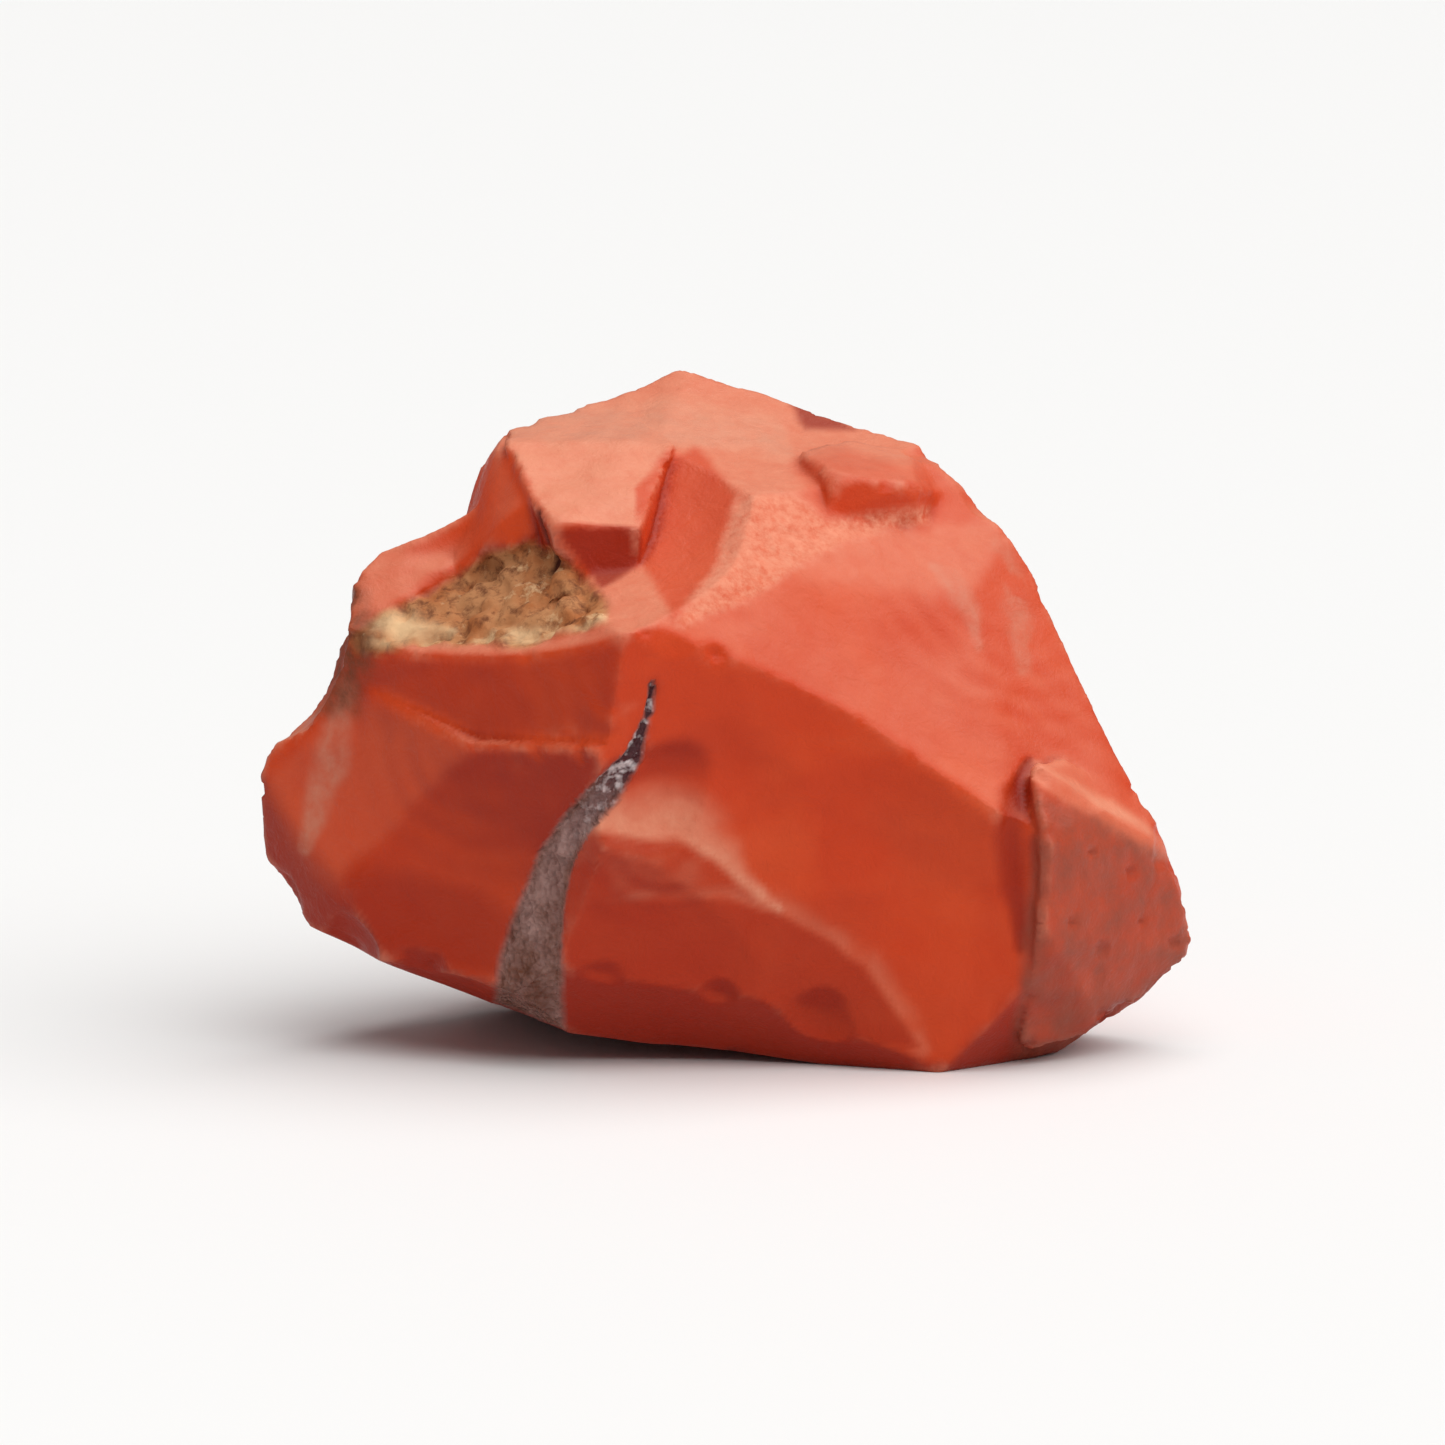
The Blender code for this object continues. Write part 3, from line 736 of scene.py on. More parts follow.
    def field(self, points: np.ndarray, drift: tuple[np.ndarray, np.ndarray]) -> np.ndarray:
        """How far points stand out of the struck block, which is negative inside it.

        Args:
            points: The points.
            drift: How far the faces and the ledges wander there.

        Returns:
            One value for each point, in millimetres.
        """
        face_points, ledge_points = points + drift[0], points + drift[1]
        value = BLOCK.field(face_points)
        for scar in SCARS:
            value = soft_max(value, scar.field(face_points), self.ridge_width)
        for notch in NOTCHES:
            value = soft_max(value, -notch.field(face_points), self.ridge_width)
        for ledge in LEDGES:
            value = -soft_max(-value, -ledge.field(ledge_points), self.corner_width)
        return np.maximum(value, -points[:, 2] - STONE_SHIFT[2])

    def slope(self, points: np.ndarray) -> tuple[np.ndarray, np.ndarray]:
        """The field and how it rises.

        Args:
            points: The points.

        Returns:
            The field at each point, and its slope there along each axis.
        """
        drift = self.drift(points)
        value = self.field(points, drift)
        slope = np.empty_like(points)
        for axis in range(3):
            aside = np.zeros(3)
            aside[axis] = self.slope_step
            slope[:, axis] = (self.field(points + aside, drift) - value) / self.slope_step
        return value, slope

    def fit_faces(self, points: np.ndarray) -> np.ndarray:
        """Moves points onto the true fracture faces, and those beside a ridge onto the ridge.

        Args:
            points: The points of the fine copy.

        Returns:
            The moved points.
        """
        start = points
        for _ in range(self.fit_steps):
            value, slope = self.slope(points)
            move = slope * (value / np.maximum(np.sum(slope * slope, axis=1), 0.05))[:, None]
            size = np.linalg.norm(move, axis=1)[:, None]
            points = points - move * np.minimum(1.0, self.longest_move / np.maximum(size, 1.0e-9))
        far = np.linalg.norm(points - start, axis=1) > self.farthest_fit
        points = np.where(far[:, None], start, points)
        _, slope = self.slope(points)
        normals = slope / np.linalg.norm(slope, axis=1)[:, None]
        reach = np.sum(normals * points, axis=1)[:, None]
        squares = (normals[:, :, None] * normals[:, None, :]).reshape(-1, 9)
        both = self.spread(np.hstack([squares, normals * reach]))
        matrix = both[:, :9].reshape(-1, 3, 3) + self.corner_hold * np.eye(3)
        goal = np.linalg.solve(matrix, (both[:, 9:] + self.corner_hold * points)[:, :, None])[:, :, 0]
        near = np.linalg.norm(goal - points, axis=1) < 0.8 * self.skin
        return np.where(near[:, None], goal, points)

    def strike_chips(self, points: np.ndarray, packed: tuple[np.ndarray, np.ndarray]) -> np.ndarray:
        """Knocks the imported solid's chips, and smaller ones along all ridges, off the stone.

        Args:
            points: The fitted points.
            packed: Points and normals of the fine copy, where the larger chips show already.

        Returns:
            The chipped points.
        """
        _, slope = self.slope(points)
        faces = slope / np.linalg.norm(slope, axis=1)[:, None]
        outward = self.spread(faces, 5)
        sharp = 1.0 - np.linalg.norm(self.spread(faces, 2), axis=1)
        outward = outward / np.linalg.norm(outward, axis=1)[:, None]
        proud = np.sum((points - self.spread(points, 3)) * outward, axis=1) > self.chip_proud
        free = points[:, 2] > self.lowest_chip
        ridge = np.flatnonzero((sharp > self.chip_ridge) & proud & free).tolist()
        for chip in CHIPS:
            near = np.linalg.norm(packed[0] - np.array(chip.place), axis=1)
            way = packed[1][near < near.min() + max(self.ridge_reach, chip.radius / 8.0)].sum(axis=0)
            self.strike(points, faces, chip, way / np.linalg.norm(way))
        chance = random.Random(self.seed)
        for count, least, most, shallow, deep in self.ridge_chips:
            for index in chance.choices(ridge, k=count):
                radius = chance.uniform(least, most)
                chip = Chip(tuple(points[index]), radius, chance.uniform(shallow, deep))
                self.strike(points, faces, chip, outward[index])
        return points

    def strike(self, points: np.ndarray, faces: np.ndarray, chip: Chip, way: np.ndarray) -> None:
        """Pushes the points that one chip takes down to the floor of its hollow.

        Args:
            points: The stone's points, which are moved.
            faces: The direction that each point faces.
            chip: The chip.
            way: Direction from which it was struck.
        """
        distance = np.linalg.norm(points - np.array(chip.place), axis=1)
        start = points[int(np.argmin(distance))]
        squeeze = np.array((1.0, 1.0, 1.0 / chip.tall))
        close = np.flatnonzero((distance < 2.0 * chip.radius * chip.tall) & (faces @ way > -0.2))
        size = max(chip.radius * 0.5, 0.6)
        warp = np.stack([noise(points[close], size, 71 + axis) for axis in range(3)], axis=1)
        warp = warp * self.chip_warp * min(chip.radius, 3.0)
        off = (points[close] - start - way * (chip.radius - chip.depth)) * squeeze + warp
        inner = np.sum(off * off, axis=1) < chip.radius**2
        close, off, down = close[inner], off[inner], way * squeeze
        along = off @ down / (down @ down)
        spare = (chip.radius**2 - np.sum(off * off, axis=1)) / (down @ down)
        points[close] -= way * (along + np.sqrt(along**2 + spare))[:, None]

    @staticmethod
    def points(mesh: bpy.types.Mesh) -> np.ndarray:
        """Reads the mesh's points.

        Args:
            mesh: The stone's mesh.

        Returns:
            The points in the stone's own frame, one row each.
        """
        flat = np.empty(len(mesh.vertices) * 3)
        mesh.vertices.foreach_get("co", flat)
        return flat.reshape(-1, 3) / MM - np.array(STONE_SHIFT)

    @staticmethod
    def normals(mesh: bpy.types.Mesh) -> np.ndarray:
        """Reads the mesh's point normals.

        Args:
            mesh: The stone's mesh.

        Returns:
            The normals, one row each.
        """
        flat = np.empty(len(mesh.vertices) * 3)
        mesh.vertex_normals.foreach_get("vector", flat)
        return flat.reshape(-1, 3)

    @staticmethod
    def store(mesh: bpy.types.Mesh, points: np.ndarray) -> None:
        """Puts points of the stone's own frame back into the mesh."""
        mesh.vertices.foreach_set("co", ((points + np.array(STONE_SHIFT)) * MM).ravel())
        mesh.update()

    def find_marks(self, points: np.ndarray, places: np.ndarray, front: np.ndarray) -> dict[Mask, np.ndarray]:
        """Maps of the marks that the photograph shows, carried over to the unseen sides where they go on.

        Args:
            points: The stone's points.
            places: Their places on the picture plane.
            front: 1 where a point faces the photograph.

        Returns:
            One map for each mask.
        """
        # Besides the marks, these maps carry painted highlight, painted sheen and painted shade.
        marks = self.marks
        wander = np.stack([noise(points, 2.2, 31), noise(points, 2.2, 32)], axis=1) * 0.25
        loose = places + wander
        maps = {mask: np.zeros(len(points)) for mask in Mask}
        gap, share = beside(places + wander * 0.6, marks.vein)
        maps[Mask.VEIN] = smooth(1.15, 0.85, gap) * front
        maps[Mask.DRUSE] = smooth(0.62, 0.30, share) * maps[Mask.VEIN]
        maps[Mask.MATRIX] = inside(loose, marks.matrix, 0.35) * front
        rim, _ = beside(loose, marks.matrix_rim)
        rim = smooth(1.4, 0.3, rim) * smooth(-0.6, 0.3, fractal(points, 1.6, 3, 45))
        maps[Mask.CREAM] = np.maximum(inside(loose, marks.cream, 0.9), 0.75 * rim) * front
        stain = inside(loose, marks.stain, 0.9) * smooth(12.0, 6.0, points[:, 1])
        # The vein turns dark brown along both borders and towards its bottom.
        dark_vein_border = 0.85 * smooth(0.3, 0.9, gap) * smooth(0.3, 0.5, share)
        vein_browning = np.maximum(smooth(0.45, 0.85, share), dark_vein_border)
        maps[Mask.STAIN] = np.maximum(stain, vein_browning * maps[Mask.VEIN])
        maps[Mask.GRAIN] = inside(loose, marks.grainy, 0.5) * front
        maps[Mask.GREY] = inside(loose, marks.grey_block, 0.45) * front
        line, _ = beside(points, marks.dark_line)
        crack, _ = beside(points, marks.crack)
        maps[Mask.DARK] = smooth(1.6, 0.6, np.minimum(line, crack) + 0.5 * noise(points, 0.9, 33))
        # The milky band is the stone's own colour; on the top face and along the fold and scoop streaks the
        # same colour is painted sheen.
        milky, _ = beside(loose, marks.milky_band)
        streak, _ = beside(loose, marks.fold_streak)
        maps[Mask.MILKY_AND_SHEEN] = np.maximum.reduce((
            0.6 * smooth(1.6, 0.4, milky),
            0.5 * inside(loose, marks.top_face, 0.5),
            0.5 * smooth(1.5, 0.3, streak) * smooth(-0.6, 0.3, fractal(points, 1.4, 3, 41)),
            0.5 * smooth(1.5, 0.2, beside(loose, marks.scoop_streak)[0]),
        )) * front
        # Painted highlight: the top face, the top ledge, the upper bevel of the grey block, the left face and
        # strips above the band crest and the slope crest are turned paler; the hackles and the chipped lens get
        # paler mottles; the step wall gets none.
        bevel, _ = beside(loose, marks.bevel)
        pale = 0.35 * inside(loose, marks.top_face, 0.4) + 0.55 * inside(loose, marks.top_ledge, 0.3)
        pale = pale + 0.45 * smooth(1.3, 0.6, bevel)
        pale = pale + 0.15 * inside(loose, marks.left_face, 0.6)
        hackled = inside(loose, marks.hackles, 0.8)
        pale = pale + 0.3 * hackled * smooth(-0.1, 0.6, fractal(points, 2.0, 3, 42))
        band = inside(loose, marks.low_band, 0.42)
        lens = inside(loose, marks.chipped_lens, 0.42)
        clouds = smooth(-0.5, 0.4, fractal(points, 1.8, 3, 43))
        band_highlight = smooth(1.3, 0.2, beside(loose, marks.band_crest)[0])
        pale = pale + 0.35 * band_highlight * (1.0 - band) * (0.4 + 0.6 * clouds)
        slope_highlight = smooth(1.2, 0.2, beside(loose, marks.slope_crest)[0]) * (1.0 - lens) * (1.0 - band)
        pale = pale + 1.1 * slope_highlight * (0.75 + 0.25 * clouds)
        pale = pale + 0.3 * lens * smooth(-0.4, 0.8, fractal(points, 2.2, 2, 44))
        pale = pale * (1.0 - inside(loose, marks.step_wall, 0.25))
        maps[Mask.PALE_AND_HIGHLIGHT] = pale * front
        crevice, _ = beside(loose, marks.crevice)
        roof_shade = 0.8 * inside(loose, marks.roof_shade, 0.3) * smooth(34.0, 36.0, points[:, 2])
        roof_shade = roof_shade * smooth(13.0, 10.0, points[:, 1])
        maps[Mask.SHADE] = np.maximum.reduce((
            0.65 * smooth(1.9, 0.3, crevice) * front,
            0.8 * inside(loose, marks.step_wall, 0.25) * front,
            0.5 * band * front,
            0.4 * lens * front,
            0.62 * inside(loose, marks.left_low, 1.6) * front,
            roof_shade,
        ))
        # Where the painted top highlight is held back: the top scoops, and partly the step block.
        scoops = inside(loose, marks.top_scoops, 0.4)
        maps[Mask.SCOOP] = np.maximum(scoops, 0.6 * inside(loose, marks.step_block, 0.5)) * front
        return maps

    def relief(self, points: np.ndarray, places: np.ndarray, maps: dict[Mask, np.ndarray]) -> np.ndarray:
        """Height to add along the normals.

        Args:
            points: The stone's points.
            places: Their places on the picture plane.
            maps: The maps of the marks.

        Returns:
            One height for each point, in millimetres.
        """
        height = 0.035 * fractal(points, 3.2, 3, 5)
        for rings in self.ripples:
            height = height + rings.relief(points)
        crumbs = fractal(points, 1.3, 3, 11)
        height = height + maps[Mask.MATRIX] * (0.42 * crumbs - 0.15)
        height = height - maps[Mask.MATRIX] * 0.5 * smooth(0.35, 0.75, noise(points, 1.3, 12))
        height = height + maps[Mask.GRAIN] * 0.10 * fractal(points, 1.2, 3, 13)
        druse = np.abs(noise(points, 0.8, 14)) + 0.5 * np.abs(noise(points, 0.45, 15))
        height = height - maps[Mask.VEIN] * (0.38 - 0.28 * druse)
        height = height - maps[Mask.DARK] * 0.35
        height = height - 0.4 * smooth(1.6, 0.2, beside(places, self.marks.crevice)[0]) * maps[Mask.SHADE]
        height = height + maps[Mask.GREY] * 0.05 * fractal(points, 0.9, 3, 16)
        for right, up, radius in self.marks.block_pits:
            off = np.hypot(places[:, 0] - right, places[:, 1] - up) / radius
            height = height - 0.3 * np.clip(1.0 - off**2, 0.0, 1.0) * maps[Mask.GREY]
        hackles = inside(places, self.marks.hackles, 0.8)
        ridged = 1.0 - np.abs(noise(points * np.array((0.5, 0.5, 1.0)), 0.9, 17))
        return height + hackles * 0.14 * (ridged - 0.5) * smooth(8.0, 4.0, points[:, 1])

    def find_edges(self, points: np.ndarray, normals: np.ndarray, maps: dict[Mask, np.ndarray]) -> None:
        """Maps of the pale rubbed ridges, which partly stand in for painted highlight, and of painted shade in
        hollow corners, from how far a point stands out of its neighbours.

        Args:
            points: The stone's points.
            normals: Their normals.
            maps: The maps, which get two more.
        """
        # Pale rubbed ridges, partly painted highlight: points that stand out of their neighbours.
        proud = np.sum((points - self.spread(points, 3)) * normals, axis=1)[:, None]
        proud = self.spread(proud, 2)[:, 0]
        maps[Mask.EDGE] = smooth(0.02, 0.11, proud)
        # Painted shade: points that sit below their neighbours, near and broad, are mixed towards deep red.
        broad = np.sum((points - self.spread(points, 14)) * normals, axis=1)[:, None]
        broad = self.spread(broad, 3)[:, 0]
        hollow = 0.6 * smooth(0.015, 0.1, -proud) + 0.6 * smooth(0.05, 0.4, -broad)
        maps[Mask.HOLLOW_SHADE] = np.clip(hollow, 0.0, 1.0)


class Nodes:
    """Short ways to add nodes to a material."""

    def __init__(self, material: bpy.types.Material) -> None:
        """Starts on the material's own tree.

        Args:
            material: The material.
        """
        material.use_nodes = True
        self.tree = material.node_tree
        self.shader = self.tree.nodes["Principled BSDF"]
        self.place = self.tree.nodes.new("ShaderNodeTexCoord").outputs["Object"]

    def link(self, source: Socket, target: Socket) -> None:
        """Joins two sockets."""
        self.tree.links.new(source, target)

    def attribute(self, mask: Mask) -> Socket:
        """Reads a map of the stone.

        Args:
            mask: The map.

        Returns:
            Its value, from 0 to 1.
        """
        node = self.tree.nodes.new("ShaderNodeAttribute")
        node.attribute_name = mask.value
        return node.outputs["Fac"]

    def noise(self, size: float, detail: float = 2.0, rough: float = 0.5, warp: float = 0.0) -> Socket:
        """Cloudy noise on the stone's own coordinates.

        Args:
            size: Size of its lumps in millimetres.
            detail: Number of finer layers.
            rough: Strength of the finer layers.
            warp: How much it is bent.

        Returns:
            The noise, from 0 to 1.
        """
        node = self.tree.nodes.new("ShaderNodeTexNoise")
        node.inputs["Scale"].default_value = 1.0 / (size * MM)
        node.inputs["Detail"].default_value = detail
        node.inputs["Roughness"].default_value = rough
        node.inputs["Distortion"].default_value = warp
        self.link(self.place, node.inputs["Vector"])
        return node.outputs["Fac"]

    def cells(self, size: float) -> Socket:
        """Grains on the stone's own coordinates.

        Args:
            size: Their size in millimetres.

        Returns:
            Distance to the middle of the nearest grain.
        """
        node = self.tree.nodes.new("ShaderNodeTexVoronoi")
        node.inputs["Scale"].default_value = 1.0 / (size * MM)
        self.link(self.place, node.inputs["Vector"])
        return node.outputs["Distance"]

    def span(
        self, value: Socket, low: float, high: float, to_low: float = 0.0, to_high: float = 1.0
    ) -> Socket:
        """Brings a value from one range to another.

        Args:
            value: The value.
            low: Start of its range.
            high: End of its range.
            to_low: Start of the new range.
            to_high: End of the new range.

        Returns:
            The new value, kept in its range.
        """
        node = self.tree.nodes.new("ShaderNodeMapRange")
        node.inputs["From Min"].default_value = low
        node.inputs["From Max"].default_value = high
        node.inputs["To Min"].default_value = to_low
        node.inputs["To Max"].default_value = to_high
        self.link(value, node.inputs["Value"])
        return node.outputs["Result"]

    def math(self, operation: str, a: Socket, b: Socket | float) -> Socket:
        """Works out one sum, whose result is kept between 0 and 1 where it is a product.

        Args:
            operation: Name of the sum.
            a: Its first value.
            b: Its second value.

        Returns:
            The result.
        """
        node = self.tree.nodes.new("ShaderNodeMath")
        node.operation = operation
        node.use_clamp = operation == "MULTIPLY"
        self.link(a, node.inputs[0])
        if isinstance(b, (int, float)):
            node.inputs[1].default_value = b
        else:
            self.link(b, node.inputs[1])
        return node.outputs[0]

    def mix(self, share: Socket, a: Socket | Colour, b: Socket | Colour) -> Socket:
        """Turns one colour to another.

        Args:
            share: How far it is turned.
            a: The first colour.
            b: The second colour.

        Returns:
            The mixed colour.
        """
        node = self.tree.nodes.new("ShaderNodeMix")
        node.data_type = "RGBA"
        self.link(share, node.inputs["Factor"])
        for value, socket in ((a, node.inputs[6]), (b, node.inputs[7])):
            if isinstance(value, tuple):
                socket.default_value = (*value, 1.0)
            else:
                self.link(value, socket)
        return node.outputs[2]

    def bump(self, height: Socket, depth: float, under: Socket | None = None) -> Socket:
        """Adds a bump.

        Args:
            height: Its height, from 0 to 1.
            depth: Its depth in millimetres.
            under: The normals of the bump below it.

        Returns:
            The joint normals.
        """
        node = self.tree.nodes.new("ShaderNodeBump")
        node.inputs["Strength"].default_value = 1.0
        node.inputs["Distance"].default_value = depth * MM
        self.link(height, node.inputs["Height"])
        if under is not None:
            self.link(under, node.inputs["Normal"])
        return node.outputs["Normal"]


@dataclass(frozen=True)
class JasperFinish:
    """Waxy red jasper with pale rubbed ridges that partly carry painted highlight, painted highlight and sheen
    where it looks up, painted shade where it faces away from the light and in hollows, a quartz vein, a crumbly
    matrix and grey, grainy patches.
    """

    red: Colour = (0.56, 0.044, 0.007)
    # Colour of painted shade, mixed in by the shade and hollow maps.
    deep_red: Colour = (0.26, 0.009, 0.001)
    orange: Colour = (0.62, 0.064, 0.013)
    # Colour of painted highlight and of the paler marks.
    salmon: Colour = (0.72, 0.25, 0.145)
    # Colour of the pale rubbed ridges, partly painted highlight; the grain patch uses it too.
    wear_and_highlight: Colour = (0.76, 0.28, 0.17)
    grey_pink: Colour = (0.29, 0.063, 0.036)
    vein_grey: Colour = (0.17, 0.065, 0.055)
    lilac: Colour = (0.44, 0.26, 0.23)
    vein_violet: Colour = (0.07, 0.02, 0.024)
    quartz: Colour = (0.66, 0.56, 0.56)
    tan: Colour = (0.50, 0.22, 0.09)
    brown: Colour = (0.13, 0.036, 0.013)
    rust: Colour = (0.40, 0.13, 0.04)
    cream: Colour = (0.80, 0.52, 0.28)
    # Colour of the milky band, also used as painted sheen.
    milky: Colour = (0.56, 0.26, 0.17)
    crack: Colour = (0.06, 0.008, 0.003)
    specular: float = 0.17
    refraction: float = 1.54

    def material(self) -> bpy.types.Material:
        """Builds the finish as shader nodes.

        Returns:
            The material.
        """
        material = bpy.data.materials.new("jasper")
        nodes = Nodes(material)
        colour = self.body_colour(nodes)
        colour = self.marked(nodes, colour)
        nodes.link(colour, nodes.shader.inputs["Base Color"])
        nodes.link(self.roughness(nodes), nodes.shader.inputs["Roughness"])
        nodes.link(self.surface(nodes), nodes.shader.inputs["Normal"])
        nodes.shader.inputs["Specular IOR Level"].default_value = self.specular
        nodes.shader.inputs["IOR"].default_value = self.refraction
        return material

    def body_colour(self, nodes: Nodes) -> Socket:
        """Clouded red, with painted highlight where the stone looks up and on lit crests, painted shade where
        it faces away from the light and in hollows, and pale rubbed ridges that are partly painted highlight.

        Args:
            nodes: The material's nodes.

        Returns:
            The colour.
        """
        clouds = nodes.noise(9.0, 3.0, 0.55, 0.4)
        colour = nodes.mix(nodes.span(clouds, 0.4, 0.7), self.red, self.orange)
        mottle = nodes.span(nodes.noise(1.2, 4.0, 0.65), 0.3, 0.75, 0.8, 1.1)
        # Paler marks and painted highlight turn the red towards salmon.
        pale = nodes.math("MULTIPLY", nodes.attribute(Mask.PALE_AND_HIGHLIGHT), mottle)
        colour = nodes.mix(pale, colour, self.salmon)
        colour = nodes.mix(nodes.attribute(Mask.SHADE), colour, self.deep_red)
        # Pale rubbed ridges, partly painted highlight along the crests.
        wear_and_highlight = nodes.span(nodes.noise(1.6, 3.0, 0.6), 0.35, 0.65, 0.05, 0.5)
        wear_and_highlight = nodes.math("MULTIPLY", nodes.attribute(Mask.EDGE), wear_and_highlight)
        colour = nodes.mix(wear_and_highlight, colour, self.wear_and_highlight)
        # Painted shade in the hollows.
        return nodes.mix(nodes.math("MULTIPLY", nodes.attribute(Mask.HOLLOW_SHADE), 0.65), colour, self.deep_red)

    def patch(
        self, nodes: Nodes, mask: Mask, under: Socket, colour: Colour, size: float, least: float, most: float
    ) -> Socket:
        """A colour laid over another where a map says, broken up by noise.

        Args:
            nodes: The material's nodes.
            mask: The map.
            under: The colour below.
            colour: The colour laid over it.
            size: Size of the noise in millimetres.
            least: Cover where the noise is low.
            most: Cover where the noise is high.

        Returns:
            The joint colour.
        """
        cover = nodes.span(nodes.noise(size, 4.0, 0.65), 0.35, 0.68, least, most)
        return nodes.mix(nodes.math("MULTIPLY", nodes.attribute(mask), cover), under, colour)

    def marked(self, nodes: Nodes, colour: Socket) -> Socket:
        """Lays the grey block, grain, the milky band with painted sheen on the top face and streaks, matrix,
        cracks, vein and stain over the body colour.

        Args:
            nodes: The material's nodes.
            colour: The body colour.

        Returns:
            The joint colour.
        """
        colour = self.patch(nodes, Mask.GREY, colour, self.grey_pink, 2.5, 0.45, 0.95)
        colour = self.patch(nodes, Mask.GRAIN, colour, self.wear_and_highlight, 0.6, 0.2, 0.9)
        # Milky band, and painted sheen on the top face and the streaks.
        colour = self.patch(nodes, Mask.MILKY_AND_SHEEN, colour, self.milky, 1.4, 0.3, 0.85)
        crumbs = nodes.mix(nodes.span(nodes.noise(3.4, 3.0, 0.6), 0.42, 0.62), self.tan, self.rust)
        pits = nodes.span(nodes.noise(0.9, 5.0, 0.7, 0.3), 0.48, 0.66, 0.0, 0.85)
        crumbs = nodes.mix(pits, crumbs, self.brown)
        crumbs = nodes.mix(nodes.span(nodes.noise(2.2, 5.0, 0.7), 0.58, 0.74), crumbs, self.cream)
        crumbs = nodes.mix(nodes.attribute(Mask.CREAM), crumbs, self.cream)
        colour = nodes.mix(nodes.attribute(Mask.MATRIX), colour, crumbs)
        colour = nodes.mix(nodes.attribute(Mask.DARK), colour, self.crack)
        haze = nodes.span(nodes.noise(1.8, 3.0, 0.55), 0.3, 0.65, 0.15, 1.0)
        quartz = nodes.mix(haze, self.vein_grey, self.lilac)
        druse = nodes.mix(nodes.span(nodes.noise(0.7, 2.0, 0.5), 0.5, 0.68), self.vein_violet, self.quartz)
        quartz = nodes.mix(nodes.attribute(Mask.DRUSE), quartz, druse)
        colour = nodes.mix(nodes.attribute(Mask.VEIN), colour, quartz)
        return self.patch(nodes, Mask.STAIN, colour, self.brown, 1.5, 0.35, 0.9)

    def roughness(self, nodes: Nodes) -> Socket:
        """Waxy on the fractures, dull on matrix and grain, glassy in the vein.

        Args:
            nodes: The material's nodes.

        Returns:
            The roughness.
        """
        body = nodes.span(nodes.noise(2.0, 4.0, 0.6), 0.3, 0.7, 0.3, 0.5)
        dull = nodes.math("MAXIMUM", nodes.attribute(Mask.MATRIX), nodes.attribute(Mask.GRAIN))
        body = nodes.math("MAXIMUM", body, nodes.span(dull, 0.0, 1.0, 0.0, 0.8))
        gloss = nodes.span(nodes.attribute(Mask.VEIN), 0.0, 1.0, 1.0, 0.22)
        return nodes.math("MINIMUM", body, gloss)

    def surface(self, nodes: Nodes) -> Socket:
        """Fine grain of the fractures over their faint ripples, and crystal facets in the vein.

        Args:
            nodes: The material's nodes.

        Returns:
            The normals.
        """
        ripples = nodes.bump(nodes.noise(1.8, 6.0, 0.62, 0.6), 0.15)
        grain = nodes.bump(nodes.noise(0.25, 3.0, 0.6), 0.03, ripples)
        facets = nodes.math("MULTIPLY", nodes.attribute(Mask.VEIN), nodes.cells(0.45))
        return nodes.bump(facets, 0.35, grain)


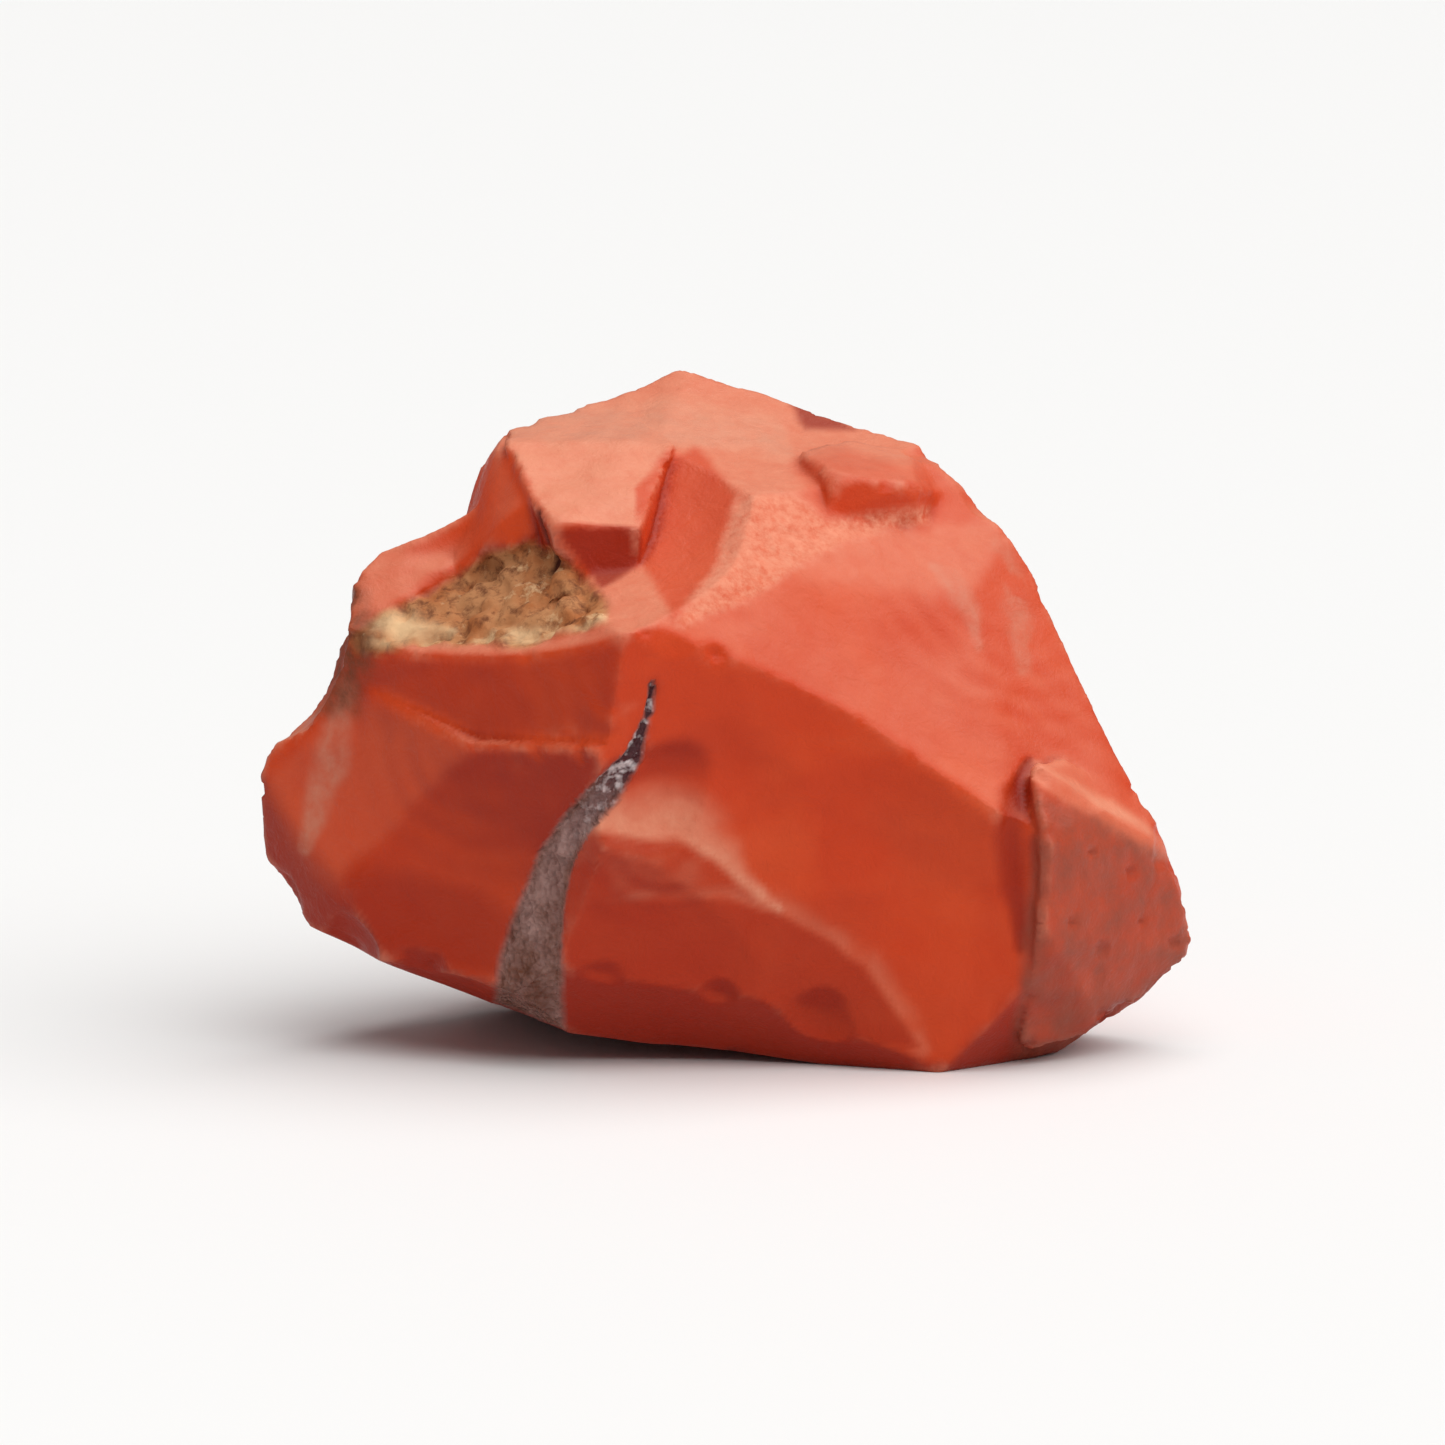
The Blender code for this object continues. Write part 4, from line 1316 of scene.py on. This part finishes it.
@dataclass(frozen=True)
class Studio:
    """Pale floor, white surroundings, one broad soft light above and the photograph's view."""

    floor_size: float = 40.0
    floor_colour: Colour = (0.84, 0.835, 0.825)
    floor_roughness: float = 0.7
    sky: Colour = (1.0, 1.0, 1.0)
    sky_strength: float = 0.24
    key_strength: float = 3.3
    key_spread: float = 85.0
    key_tilt: Point = (12.0, 20.0, 0.0)
    lens: float = 150.0
    sensor: float = 36.0
    view: FrontView = FrontView()

    def floor(self, height: float) -> bpy.types.Object:
        """Lays the floor.

        Args:
            height: Its height in metres.

        Returns:
            The floor's object.
        """
        mesh = bpy.data.meshes.new("studio_floor")
        bm = bmesh.new()
        bmesh.ops.create_grid(bm, x_segments=1, y_segments=1, size=self.floor_size / 2.0)
        bmesh.ops.translate(bm, vec=(0.0, 0.0, height), verts=bm.verts)
        bm.to_mesh(mesh)
        bm.free()
        floor = bpy.data.objects.new("studio_floor", mesh)
        bpy.context.scene.collection.objects.link(floor)
        material = bpy.data.materials.new("pale_floor")
        material.use_nodes = True
        shader = material.node_tree.nodes["Principled BSDF"]
        shader.inputs["Base Color"].default_value = (*self.floor_colour, 1.0)
        shader.inputs["Roughness"].default_value = self.floor_roughness
        mesh.materials.append(material)
        floor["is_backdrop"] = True
        return floor

    def lights(self) -> None:
        """White surroundings and the soft light above."""
        scene = bpy.context.scene
        world = bpy.data.worlds.new("white_room")
        world.use_nodes = True
        background = world.node_tree.nodes["Background"]
        background.inputs["Color"].default_value = (*self.sky, 1.0)
        background.inputs["Strength"].default_value = self.sky_strength
        scene.world = world
        light = bpy.data.lights.new("soft_key", "SUN")
        light.energy = self.key_strength
        light.angle = math.radians(self.key_spread)
        key = bpy.data.objects.new("soft_key", light)
        key.rotation_euler = [math.radians(turn) for turn in self.key_tilt]
        scene.collection.objects.link(key)
        scene.view_settings.view_transform = "Standard"

    def camera(self) -> None:
        """The camera, where the photograph was taken from."""
        shift = Vector(STONE_SHIFT)
        eye = (self.view.eye() + shift) * MM
        target = (Vector(self.view.middle) + shift) * MM
        data = bpy.data.cameras.new("photo_view")
        data.lens = self.lens
        data.sensor_width = self.sensor
        camera = bpy.data.objects.new("photo_view", data)
        camera.location = eye
        camera.rotation_euler = (target - eye).to_track_quat("-Z", "Y").to_euler()
        bpy.context.scene.collection.objects.link(camera)
        bpy.context.scene.camera = camera


def main() -> None:
    """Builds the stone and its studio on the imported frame."""
    logging.basicConfig(level=logging.INFO)
    cad_low, cad_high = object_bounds()
    chunk = JasperChunk()
    stone = chunk.build()
    stone.data.materials.append(JasperFinish().material())
    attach(stone, "root")
    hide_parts(chunk.node)
    log.info("%s: %d faces", stone.name, len(stone.data.polygons))
    studio = Studio()
    studio.camera()
    studio.lights()
    studio.floor(cad_low[2])


if __name__ == "__main__":
    main()
